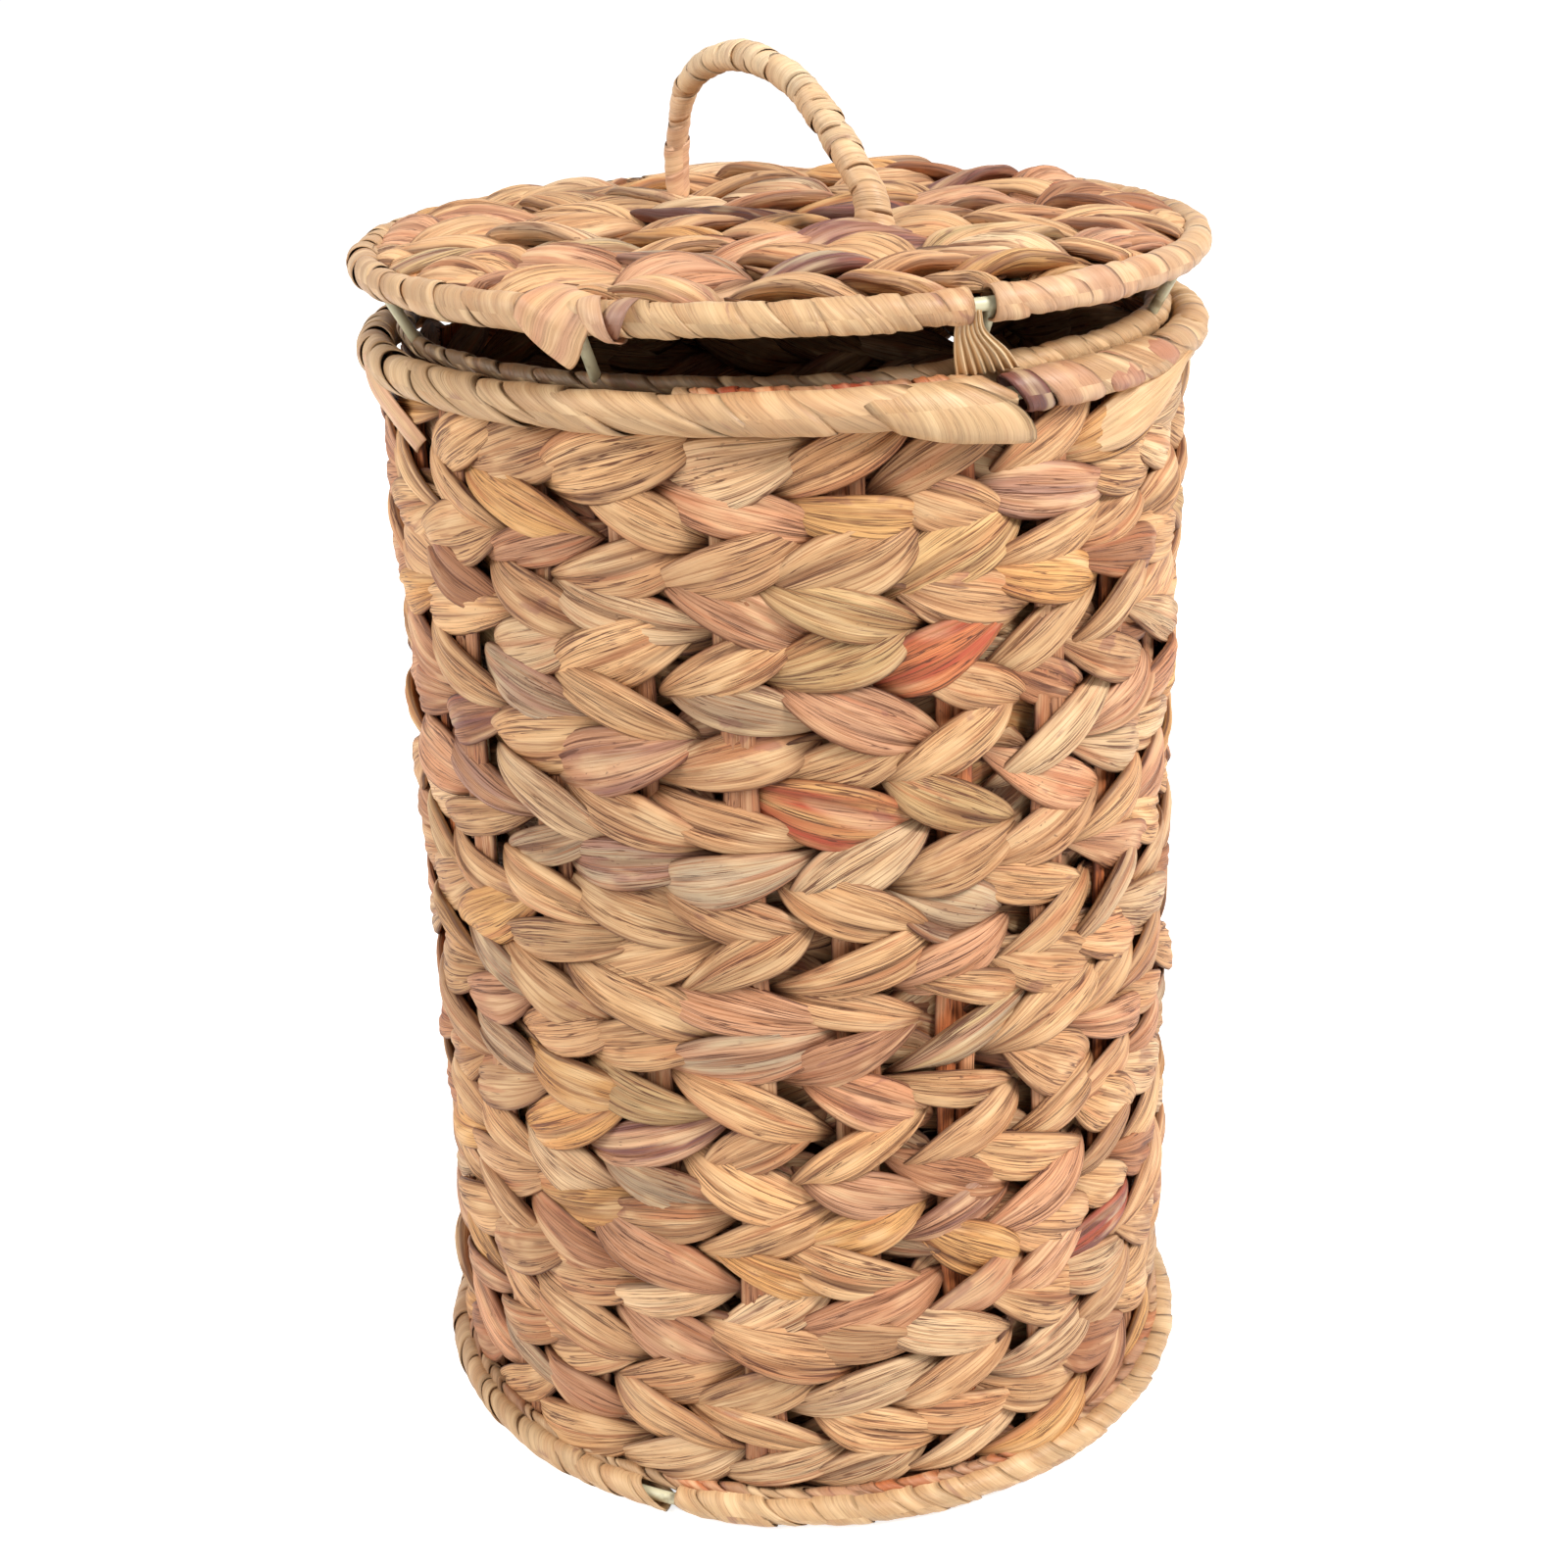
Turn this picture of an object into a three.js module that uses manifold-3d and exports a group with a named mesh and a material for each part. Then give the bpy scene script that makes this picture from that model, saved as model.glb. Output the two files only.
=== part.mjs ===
// Round wastebasket with a lift-off lid: dried plant strands twined on a welded wire frame.
// Millimetres, +Z up. The origin is the centre of the ring it stands on, and the front is -Y.
// Angles are measured from the front, positive to the right as seen from there.
import * as THREE from "three";
import { mergeVertices } from "three/addons/utils/BufferGeometryUtils.js";
import Module from "manifold-3d";

const wasm = await Module();
wasm.setup();

// Fits
const gap = 0.3; // between pieces that touch
const overrun = 5; // how far a cut runs past what it cuts
const weld = 0.001; // points this close are one point

// Wire
const wireRadius = 1.75; // uprights, rods and struts
const hoopWireRadius = 2;

// Rings that are wound with strand
const rimRadius = 128.5; // to the middle of the ring
const rimTube = 6.5;
const rimHeight = 369;
const footFlare = 0.5; // how much wider the foot ring is than the rim
const footTube = 5.5;
const lidOverhang = 1.3; // how much wider the lid's ring is than the rim
const lidTube = 5;
const lidStand = 20.55; // from the ring under the lid up to the lid's ring
const seatTube = 4.5; // the ring under the lid, which sits inside the rim
const seatSlope = 28.8; // degrees, of the line from the rim's middle up to that ring's

// Wall
const stakeCount = 24; // wires and spokes together
const stakesPerBay = 3; // one wire and two spokes
const stakeInset = 7.3; // from the middle of the rim in to the middle of the stakes
const strandThickness = 4.95; // of the strands on each side of the stakes, at a stitch's ridge
const edgeThickness = 1.2; // along a row's upper and lower edges
const spokeWidth = 13;
const spokeThickness = 3.4;
const crossingWidth = 6; // where the two strands of a row cross, between two bays
const rowCount = 23;
const lowestRowHeight = 20;
const topRowDrop = 17; // from the middle of the rim down to the highest row
// How far each row sits above its even place, from the bottom, as shares of the row pitch
const rowDriftShares = [
  0, -0.07, -0.01, -0.02, -0.03, -0.17, -0.17, -0.17, -0.25, -0.19, 0.07, -0.07,
  -0.07, -0.08, 0.05, 0.11, 0.24, 0.36, 0.36, 0.35, 0.21, 0.14, 0,
];

// Stitches: a row's strand bulges to a slanting ridge over each stake or rod
const ridgeShare = 0.5; // the ridge's length, as a share of the way to the next stake
const tiltShare = 0.17; // how far each end of it stands off the row's middle, as a share of the row

// Woven panels of the lid and the base
const matRows = 16;
const matCrestShare = 0.5; // the thick middle of each row, as a share of the row
const lidMatThickness = 13.6;
const lidMatWaist = 7; // thickness between two rows
const lidRodRise = 2.5; // from the middle of the lid's ring up to its rods
const baseMatWaist = 6;
const baseMatFloor = 1; // its clearance over the floor
const rodsEachSide = 3; // beside the one in the middle
const rodSpreadShare = 0.77; // of the rim's radius, out to the last rods
const strutCount = 8;

// Handle
const handleBack = 44; // from the middle of the lid to the back foot
const handleFront = 40;
const handleLift = 2.2; // from the woven panel to the ends of the arch's centre line
const handleRise = 45.2; // from there to its top
const handleTube = 5;
const handleBore = 2.5;
const handleSteps = 16;
// The arch's centre line, as shares of the way from the back foot to the front one and of the rise
const handleShares = [
  [0, 0],
  [0.008, 0.34],
  [0.094, 0.79],
  [0.337, 1],
  [0.603, 0.885],
  [0.78, 0.61],
  [0.898, 0.34],
  [0.965, 0.17],
  [1, 0],
];

// Tie between the lid's two rings
const strapStrut = 0; // which strut it is folded round, counted from the front right
const strapThickness = 1.5;
const strapTopWidth = 7;
const strapBottomWidth = 22;

// How round things are
const ringSides = stakeCount;
const tubeSides = 8;
const wireSides = 6;
const tunnelSides = 4;
// The corners of a tube that a wrap covers, counted from the outer one of the flat bottom
const rimCorners = { first: 7, count: 7 };
const footCorners = { first: 7, count: 6 };
const seatCorners = { first: 4, count: 7 };

// Worked out from the sizes above
const turn = 2 * Math.PI;
const stakePitch = turn / stakeCount;
const bayPitch = stakePitch * stakesPerBay;
const bayCount = stakeCount / stakesPerBay;
const firstWire = -stakePitch / 2;
const strutPitch = turn / strutCount;
const flatShare = Math.cos(Math.PI / tubeSides); // of a tube's radius, to its flat sides
const ringFlatShare = Math.cos(Math.PI / ringSides);
const footRadius = rimRadius + footFlare;
const footHeight = footTube * flatShare;
const rodSpacing = (rimRadius * rodSpreadShare) / rodsEachSide;
const seatToRim = rimTube + seatTube + gap;
const seatAngle = THREE.MathUtils.degToRad(seatSlope);
const seatRadius = rimRadius - seatToRim * Math.cos(seatAngle);
const seatHeight = rimHeight + seatToRim * Math.sin(seatAngle);
const lidRadius = rimRadius + lidOverhang;
const lidHeight = seatHeight + lidStand;
const lidRodHeight = lidHeight + lidRodRise;
const weaveBottom = footHeight + footTube * flatShare + gap;
const weaveTop = rimHeight - rimTube * flatShare - gap;
const stakeRadius = rimRadius - stakeInset;
const slotWidth = Math.max(spokeThickness, 2 * wireRadius) + 2 * gap;
const slotInside = stakeRadius - slotWidth / 2;
const slotOutside = stakeRadius + slotWidth / 2;
const edgeInside = slotInside - edgeThickness;
const edgeOutside = slotOutside + edgeThickness;
const ridgeInside = slotInside - strandThickness;
const ridgeOutside = slotOutside + strandThickness;
const rowPitch = (rimHeight - topRowDrop - lowestRowHeight) / (rowCount - 1);
const lidMatRadius = lidRadius - lidTube - gap / ringFlatShare;
const lidMatTop = lidRodHeight + lidMatThickness / 2;
const baseMatRadius = footRadius - footTube - gap / ringFlatShare;
const baseMatThickness = weaveBottom - gap - baseMatFloor;
const baseRodHeight = baseMatFloor + baseMatThickness / 2;
const tunnelShare = 1 / Math.cos(Math.PI / tunnelSides); // of a tunnel's half width, to its corners
const wireTunnel = { radius: (wireRadius + gap) * tunnelShare, sides: tunnelSides };
const bareWire = { radius: wireRadius, sides: wireSides };
const boreRadius = (hoopWireRadius + gap) * tunnelShare;

// Finishes
const finishes = {
  strand: { color: 0xdcb584, roughness: 0.72, metalness: 0 },
  wrap: { color: 0xd9ae7b, roughness: 0.68, metalness: 0 },
  spoke: { color: 0xa87450, roughness: 0.8, metalness: 0 },
  wire: { color: 0xbfbb9a, roughness: 0.45, metalness: 0.3 },
};

const basket = new THREE.Group();

// Adds a named piece with a finish of its own.
function piece(name, finish, geometry) {
  geometry.computeVertexNormals();
  const mesh = new THREE.Mesh(geometry, new THREE.MeshStandardMaterial(finishes[finish]));
  mesh.name = name;
  basket.add(mesh);
}

// A closed geometry as a solid that can be joined and cut.
function solid(geometry) {
  const bare = geometry.index ? geometry.toNonIndexed() : geometry.clone();
  bare.deleteAttribute("normal");
  bare.deleteAttribute("uv");
  const merged = mergeVertices(bare, weld);
  return new wasm.Manifold(
    new wasm.Mesh({
      numProp: 3,
      vertProperties: merged.attributes.position.array,
      triVerts: new Uint32Array(merged.index.array),
    }),
  );
}

// A joined or cut solid as a geometry again.
function geometryOf(made) {
  const mesh = made.getMesh();
  return new THREE.BufferGeometry()
    .setAttribute("position", new THREE.BufferAttribute(new Float32Array(mesh.vertProperties), 3))
    .setIndex(new THREE.BufferAttribute(new Uint32Array(mesh.triVerts), 1));
}

const joined = (solids) => solids.reduce((whole, next) => whole.add(next));
const cut = (whole, tools) => tools.reduce((left, tool) => left.subtract(tool), whole);

// The place at an angle from the front, a radius and a height.
function place(angle, radius, height) {
  return new THREE.Vector3(radius * Math.sin(angle), -radius * Math.cos(angle), height);
}

// The corners of a regular polygon with a flat side at the bottom.
function polygon(radius, sides, x = 0, y = 0) {
  return Array.from({ length: sides }, (_, i) => {
    const a = (turn * (i + 0.5)) / sides - Math.PI / 2;
    return new THREE.Vector2(x + radius * Math.cos(a), y + radius * Math.sin(a));
  });
}

// A ring with a round section.
function ring(radius, height, tube, sides) {
  const section = polygon(tube, sides, radius, height);
  const geometry = new THREE.LatheGeometry([...section, section[0]], ringSides);
  return solid(geometry.rotateX(Math.PI / 2));
}

// A straight wire between two places.
function rod(from, to, wire) {
  const along = to.clone().sub(from);
  const geometry = new THREE.CylinderGeometry(wire.radius, wire.radius, along.length(), wire.sides);
  const up = new THREE.Vector3(0, 1, 0);
  geometry.applyQuaternion(new THREE.Quaternion().setFromUnitVectors(up, along.clone().normalize()));
  const middle = from.clone().lerp(to, 0.5);
  return solid(geometry.translate(middle.x, middle.y, middle.z));
}

// The front-to-back rods that end in a hoop.
function rods(hoopRadius, height, wire) {
  return Array.from({ length: 2 * rodsEachSide + 1 }, (_, i) => {
    const x = (i - rodsEachSide) * rodSpacing;
    const y = Math.sqrt((hoopRadius * ringFlatShare) ** 2 - x ** 2);
    return rod(new THREE.Vector3(x, -y, height), new THREE.Vector3(x, y, height), wire);
  });
}

// The upright wires: out of the foot hoop, up through the rows and out to the rim hoop.
function uprights(wire) {
  return Array.from({ length: bayCount }, (_, i) => {
    const angle = firstWire + i * bayPitch;
    const foot = place(angle, footRadius * ringFlatShare, footHeight);
    const low = place(angle, stakeRadius, weaveBottom - 2 * wireRadius);
    const high = place(angle, stakeRadius, weaveTop + 2 * wireRadius);
    const rim = place(angle, rimRadius * ringFlatShare, rimHeight);
    return joined([rod(foot, low, wire), rod(low, high, wire), rod(high, rim, wire)]);
  });
}

// The middle of a hoop's wire where a strut meets it, halfway between two corners of the hoop.
function strutEnd(angle, hoopRadius, height) {
  return place(angle, hoopRadius * ringFlatShare, height);
}

// The sloping wires between the lid's hoop and the seat hoop under it.
function struts(wire) {
  return Array.from({ length: strutCount }, (_, i) => {
    const angle = (i + 0.5) * strutPitch;
    return rod(strutEnd(angle, seatRadius, seatHeight), strutEnd(angle, lidRadius, lidHeight), wire);
  });
}

// A strand wound round a hoop: a hollow ring with tunnels where wires pass through it.
function wrap(radius, height, tube, passing) {
  const bore = ring(radius, height, boreRadius, tunnelSides);
  return cut(ring(radius, height, tube, tubeSides), [bore, ...passing]);
}

// The same, left open all round along the corners where wires come in.
function openWrap(radius, height, tube, { first, count }) {
  const kept = (corners) =>
    Array.from({ length: count }, (_, i) => corners[(first + i) % tubeSides]);
  const outside = kept(polygon(tube, tubeSides, radius, height));
  const inside = kept(polygon(boreRadius, tubeSides, radius, height));
  const fewer = inside.filter((_, i) => i % 2 === 0 || i === count - 1);
  const section = [...outside, ...fewer.reverse()];
  return new THREE.LatheGeometry([...section, section[0]], ringSides).rotateX(Math.PI / 2);
}

// A solid from points and from faces that name them by number.
function faceted(points, faces) {
  const geometry = new THREE.BufferGeometry().setFromPoints(points);
  return geometry.setIndex(faces.flat());
}

// The faces of one stitch: four corners, counted round it, that rise to the two ends of a ridge.
// The folds between them run with the ridge, which leans to the far side where lean is 1.
function stitchFaces([a, b, c, d], [near, far], lean) {
  const ends = [[b, c, far], [d, a, near]];
  return lean > 0
    ? [...ends, [a, b, far], [a, far, near], [c, d, near], [c, near, far]]
    : [...ends, [a, b, near], [b, far, near], [c, d, far], [d, near, far]];
}

// A panel of straight rows across a round frame, with tunnels for its rods.
function mat(radius, height, rows, passing) {
  const disc = new THREE.CylinderGeometry(radius, radius, lidMatThickness + overrun, ringSides);
  disc.rotateX(Math.PI / 2).translate(0, 0, height);
  return cut(solid(rows.translate(0, 0, height)).intersect(solid(disc)), passing);
}

// Rows that are the same all along.
function plainRows(radius, thickness, waist) {
  const pitch = (2 * radius) / matRows;
  const top = [];
  for (let i = 0; i < matRows; i += 1) {
    const start = -radius + i * pitch;
    const shoulder = (pitch * (1 - matCrestShare)) / 2;
    top.push([start, waist / 2], [start + shoulder, thickness / 2]);
    top.push([start + pitch - shoulder, thickness / 2]);
  }
  top.push([radius, waist / 2]);
  const bottom = top.map(([y, z]) => [y, -z]).reverse();
  const section = new THREE.Shape([...top, ...bottom].map(([y, z]) => new THREE.Vector2(y, z)));
  const rows = new THREE.ExtrudeGeometry(section, { depth: 2 * radius, bevelEnabled: false });
  const alongX = new THREE.Matrix4().makeBasis(
    new THREE.Vector3(0, 1, 0),
    new THREE.Vector3(0, 0, 1),
    new THREE.Vector3(1, 0, 0),
  );
  return rows.applyMatrix4(alongX).translate(-radius, 0, 0);
}

// Rows with a stitch over each rod on top and a straight ridge below. Every other row leans back.
function stitchedRows(radius, thickness, waist) {
  const pitch = (2 * radius) / matRows;
  const stitches = 2 * Math.ceil(radius / rodSpacing) + 1;
  const left = (-stitches / 2) * rodSpacing;
  const points = [];
  const faces = [];
  const point = (x, y, z) => points.push(new THREE.Vector3(x, y, z)) - 1;
  const edges = Array.from({ length: matRows + 1 }, (_, row) => {
    const y = -radius + row * pitch;
    const top = Array.from({ length: stitches + 1 }, (_, i) => point(left + i * rodSpacing, y, waist / 2));
    return { top, low: [point(left, y, -waist / 2), point(-left, y, -waist / 2)] };
  });
  for (let row = 0; row < matRows; row += 1) {
    const [front, back] = [edges[row], edges[row + 1]];
    const y = -radius + (row + 0.5) * pitch;
    const lean = row % 2 === 0 ? -1 : 1;
    const tilt = tiltShare * pitch * lean;
    for (let i = 0; i < stitches; i += 1) {
      const x = left + (i + 0.5) * rodSpacing;
      const reach = (ridgeShare * rodSpacing) / 2;
      const ridge = [point(x - reach, y - tilt, thickness / 2), point(x + reach, y + tilt, thickness / 2)];
      const corners = [front.top[i], front.top[i + 1], back.top[i + 1], back.top[i]];
      faces.push(...stitchFaces(corners, ridge, lean));
    }
    const below = [point(left, y, -thickness / 2), point(-left, y, -thickness / 2)];
    faces.push([front.low[0], below[0], below[1]], [front.low[0], below[1], front.low[1]]);
    faces.push([below[0], back.low[0], back.low[1]], [below[0], back.low[1], below[1]]);
    faces.push([front.top[0], back.top[0], front.low[0]], [front.low[0], back.top[0], back.low[0]]);
    faces.push([front.low[0], back.low[0], below[0]]);
    const [frontEnd, backEnd] = [front.top[stitches], back.top[stitches]];
    faces.push([backEnd, frontEnd, front.low[1]], [backEnd, front.low[1], back.low[1]]);
    faces.push([back.low[1], front.low[1], below[1]]);
  }
  const [first, last] = [edges[0], edges[matRows]];
  for (let i = 0; i < stitches; i += 1) {
    faces.push([first.low[0], first.top[i + 1], first.top[i]], [last.low[0], last.top[i], last.top[i + 1]]);
  }
  faces.push([first.low[0], first.low[1], first.top[stitches]]);
  faces.push([last.low[0], last.top[stitches], last.low[1]]);
  return faceted(points, faces);
}

// The radius at an angle of a polygon whose flat sides face the stakes.
function flatRadius(apothem, angle) {
  const offStake = angle - firstWire - stakePitch * Math.round((angle - firstWire) / stakePitch);
  return apothem / Math.cos(offStake);
}

// A point in plan of such a polygon.
function planPoint(apothem, angle) {
  const radius = flatRadius(apothem, angle);
  return new THREE.Vector2(radius * Math.sin(angle), -radius * Math.cos(angle));
}

// One twined row: strands outside and inside the stakes, which cross between the bays. Its stitches rise
// to the right outside and fall inside where lean is 1, and the other way round where it is -1.
function weaveRow(bottom, top, lean) {
  const corner = (i) => firstWire + (i - 0.5) * stakePitch;
  const around = (apothem) => Array.from({ length: stakeCount }, (_, i) => planPoint(apothem, corner(i)));
  const crossingAngle = crossingWidth / 2 / stakeRadius;
  const slots = Array.from({ length: bayCount }, (_, bay) => {
    const first = bay * stakesPerBay;
    const angles = Array.from({ length: stakesPerBay + 1 }, (_, i) => corner(first + i));
    angles[0] += crossingAngle;
    angles[stakesPerBay] -= crossingAngle;
    const outside = angles.map((angle) => planPoint(slotOutside, angle));
    const inside = angles.map((angle) => planPoint(slotInside, angle));
    return [...outside, ...inside.reverse()];
  });
  const outlines = [around(edgeOutside), around(edgeInside), ...slots];
  const plan = outlines.flat();
  const raised = plan.length; // from a point's number at the bottom to the one above it
  const points = [bottom, top].flatMap((z) => plan.map(({ x, y }) => new THREE.Vector3(x, y, z)));
  const caps = THREE.ShapeUtils.triangulateShape(outlines[0], outlines.slice(1));
  const faces = caps.flatMap(([a, b, c]) => [[c, b, a], [a + raised, b + raised, c + raised]]);
  const middle = (bottom + top) / 2;
  const tilt = tiltShare * (top - bottom);
  const reach = (ridgeShare * stakePitch) / 2;
  for (let stake = 0; stake < stakeCount; stake += 1) {
    const next = (stake + 1) % stakeCount;
    const angle = firstWire + stake * stakePitch;
    for (const [start, radius, slope] of [[0, ridgeOutside, lean], [stakeCount, ridgeInside, -lean]]) {
      const [here, there] = [start + stake, start + next];
      const ridge = [points.length, points.length + 1];
      points.push(place(angle - reach, radius, middle - tilt * slope));
      points.push(place(angle + reach, radius, middle + tilt * slope));
      const outward = stitchFaces([here, there, there + raised, here + raised], ridge, slope);
      faces.push(...(start === 0 ? outward : outward.map((face) => face.reverse())));
    }
  }
  for (let bay = 0; bay < bayCount; bay += 1) {
    const corners = slots[bay].length;
    const start = 2 * stakeCount + bay * corners;
    for (let i = 0; i < corners; i += 1) {
      const [here, there] = [start + i, start + ((i + 1) % corners)];
      faces.push([there, here, here + raised], [there, here + raised, there + raised]);
    }
  }
  return faceted(points, faces);
}

// Wire frame of the basket, one welding: two hoops, the uprights and the base's rods
const rimHoop = ring(rimRadius, rimHeight, hoopWireRadius, wireSides);
const footHoop = ring(footRadius, footHeight, hoopWireRadius, wireSides);
const baseRods = rods(footRadius, baseRodHeight, bareWire);
piece("wire_frame", "wire", geometryOf(joined([rimHoop, footHoop, ...uprights(bareWire), ...baseRods])));

// Strand wound round the rim, open below and inside, and round the foot, open inside
piece("rim_wrap", "wrap", openWrap(rimRadius, rimHeight, rimTube, rimCorners));
piece("foot_wrap", "wrap", openWrap(footRadius, footHeight, footTube, footCorners));

// Woven base
const baseTunnels = [...rods(footRadius, baseRodHeight, wireTunnel), ...uprights(wireTunnel)];
const baseRows = plainRows(baseMatRadius, baseMatThickness, baseMatWaist);
const baseMat = mat(baseMatRadius, baseRodHeight, baseRows, baseTunnels);
piece("base_weave", "strand", geometryOf(baseMat));

// Spokes: the wide flat stakes between the wires
let spokeNumber = 0;
for (let stake = 0; stake < stakeCount; stake += 1) {
  if (stake % stakesPerBay !== 0) {
    spokeNumber += 1;
    const angle = firstWire + stake * stakePitch;
    const middle = place(angle, stakeRadius, (weaveBottom + weaveTop) / 2);
    const spoke = new THREE.BoxGeometry(spokeWidth, spokeThickness, weaveTop - weaveBottom);
    spoke.rotateZ(angle).translate(middle.x, middle.y, middle.z);
    piece("spoke_" + String(spokeNumber).padStart(2, "0"), "spoke", spoke);
  }
}

// Twined rows of the wall, from the bottom
const rowMiddles = rowDriftShares.map((share, i) => lowestRowHeight + (i + share) * rowPitch);
for (let i = 0; i < rowCount; i += 1) {
  const bottom = i === 0 ? weaveBottom : (rowMiddles[i - 1] + rowMiddles[i] + gap) / 2;
  const top = i === rowCount - 1 ? weaveTop : (rowMiddles[i] + rowMiddles[i + 1] - gap) / 2;
  const lean = i % 2 === 0 ? 1 : -1;
  piece("weave_row_" + String(i + 1).padStart(2, "0"), "strand", weaveRow(bottom, top, lean));
}

// Wire frame of the lid, one welding: its hoop, the seat hoop, the struts and the rods
const lidHoop = ring(lidRadius, lidHeight, hoopWireRadius, wireSides);
const seatHoop = ring(seatRadius, seatHeight, hoopWireRadius, wireSides);
const lidRods = rods(lidRadius, lidRodHeight, bareWire);
piece("lid_frame", "wire", geometryOf(joined([lidHoop, seatHoop, ...struts(bareWire), ...lidRods])));

// Strand wound round the lid's hoop, and round the seat hoop, open above
const lidTunnels = rods(lidRadius, lidRodHeight, wireTunnel);
const lidWrap = wrap(lidRadius, lidHeight, lidTube, [...struts(wireTunnel), ...lidTunnels]);
piece("lid_wrap", "wrap", geometryOf(lidWrap));
piece("seat_wrap", "wrap", openWrap(seatRadius, seatHeight, seatTube, seatCorners));

// Handle: a wire arch, one end on a rod of the lid and one beside a rod, wound above the panel
const backFoot = new THREE.Vector3(-rodSpacing, handleBack, lidMatTop + handleLift);
const frontFoot = new THREE.Vector3(rodSpacing - 2 * wireRadius - gap, -handleFront, lidMatTop + handleLift);
const handlePoints = handleShares.map(([across, rise]) => {
  const point = backFoot.clone().lerp(frontFoot, across);
  return point.setZ(point.z + rise * handleRise);
});
const handleCurve = new THREE.CatmullRomCurve3(handlePoints);
const along = { steps: handleSteps, extrudePath: handleCurve };
const handleCore = new THREE.ExtrudeGeometry(new THREE.Shape(polygon(wireRadius, wireSides)), along);
const rodTop = lidRodHeight + wireRadius + gap;
const leg = (foot, bottom, wire) => rod(foot.clone().setZ(bottom), foot.clone().setZ(foot.z + gap), wire);
const handleLegs = [leg(backFoot, rodTop, bareWire), leg(frontFoot, lidRodHeight, bareWire)];
piece("handle_wire", "wire", geometryOf(joined([solid(handleCore), ...handleLegs])));

const handleSection = new THREE.Shape(polygon(handleTube, tubeSides));
handleSection.holes.push(new THREE.Path(polygon(handleBore, wireSides)));
piece("handle_wrap", "wrap", new THREE.ExtrudeGeometry(handleSection, along));

// Woven panel of the lid
const legTunnels = [backFoot, frontFoot].map((foot) => leg(foot, lidRodHeight - overrun, wireTunnel));
const panelTunnels = [...lidTunnels, ...legTunnels];
const lidRows = stitchedRows(lidMatRadius, lidMatThickness, lidMatWaist);
const lidMat = mat(lidMatRadius, lidRodHeight, lidRows, panelTunnels);
piece("lid_weave", "strand", geometryOf(lidMat));

// Tie: a flat strand folded down the outside of one strut, fanning out towards the seat ring
const strapAngle = (strapStrut + 0.5) * strutPitch;
const strapFoot = strutEnd(strapAngle, seatRadius, seatHeight);
const strapHead = strutEnd(strapAngle, lidRadius, lidHeight);
const strutLength = strapHead.distanceTo(strapFoot);
const strapLow = seatTube + gap;
const strapHigh = strutLength - lidTube - gap;
const fan = new THREE.Shape([
  new THREE.Vector2(-strapBottomWidth / 2, strapLow),
  new THREE.Vector2(strapBottomWidth / 2, strapLow),
  new THREE.Vector2(strapTopWidth / 2, strapHigh),
  new THREE.Vector2(-strapTopWidth / 2, strapHigh),
]);
const strap = new THREE.ExtrudeGeometry(fan, { depth: strapThickness, bevelEnabled: false });
const strapUp = strapHead.clone().sub(strapFoot).normalize();
const strapSide = new THREE.Vector3(Math.cos(strapAngle), Math.sin(strapAngle), 0);
const strapOut = strapSide.clone().cross(strapUp);
strap.translate(0, 0, wireRadius + gap);
strap.applyMatrix4(new THREE.Matrix4().makeBasis(strapSide, strapUp, strapOut));
piece("binding_strap", "wrap", strap.translate(strapFoot.x, strapFoot.y, strapFoot.z));

export default basket;
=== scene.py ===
"""Round wicker wastebasket with a lift-off lid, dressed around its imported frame.

Metres, +Z up, the front is -Y. The wall is 23 twined rows on 24 stakes, and the lid and the base are
straight twined rows on rods. Each row is two strands that turn round each other, so one of them passes
outside each stake as a leaf-shaped stitch. The rings and the handle are wound with flat bands.
Places and sizes come from the frame's nodes. What only the looks need is a named value of a class.
"""

from __future__ import annotations

import logging
import math
from collections.abc import Sequence
from dataclasses import dataclass, field, replace
from enum import Enum

import bpy
import numpy as np
from mathutils import Matrix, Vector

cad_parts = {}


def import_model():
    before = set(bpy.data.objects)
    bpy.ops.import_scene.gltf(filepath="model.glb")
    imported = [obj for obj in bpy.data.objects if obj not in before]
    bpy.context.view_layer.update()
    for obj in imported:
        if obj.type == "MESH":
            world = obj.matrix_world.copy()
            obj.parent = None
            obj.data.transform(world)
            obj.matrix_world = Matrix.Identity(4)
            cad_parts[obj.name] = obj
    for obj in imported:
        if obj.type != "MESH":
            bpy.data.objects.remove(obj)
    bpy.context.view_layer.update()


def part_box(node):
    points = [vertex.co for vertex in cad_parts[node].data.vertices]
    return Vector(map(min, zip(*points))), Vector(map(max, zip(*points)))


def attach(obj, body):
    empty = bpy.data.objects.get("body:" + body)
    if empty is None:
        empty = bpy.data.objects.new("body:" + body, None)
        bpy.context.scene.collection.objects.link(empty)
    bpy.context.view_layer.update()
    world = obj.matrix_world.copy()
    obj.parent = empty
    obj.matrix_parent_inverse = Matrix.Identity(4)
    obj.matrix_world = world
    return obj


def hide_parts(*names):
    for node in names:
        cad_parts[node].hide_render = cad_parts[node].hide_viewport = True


LOG = logging.getLogger("wastebasket")
BASKET = "basket"
LID = "lid"
MM = 0.001
TURN = 2 * math.pi
FIRST_STAKE = math.radians(-7.5)  # where the first stake of the wall stands, from the front
UV_SPREAD = 9  # how far apart on the UV map two strands may lie, in metres
Colour = tuple[float, float, float]
Stops = tuple[tuple[float, float], ...]


def linear(red: int, green: int, blue: int) -> Colour:
    """A colour as seen on a screen, 0 to 255 a channel, in the linear values that shaders take."""
    shares = (channel / 255 for channel in (red, green, blue))
    return tuple(s / 12.92 if s <= 0.04045 else ((s + 0.055) / 1.055) ** 2.4 for s in shares)


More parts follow.
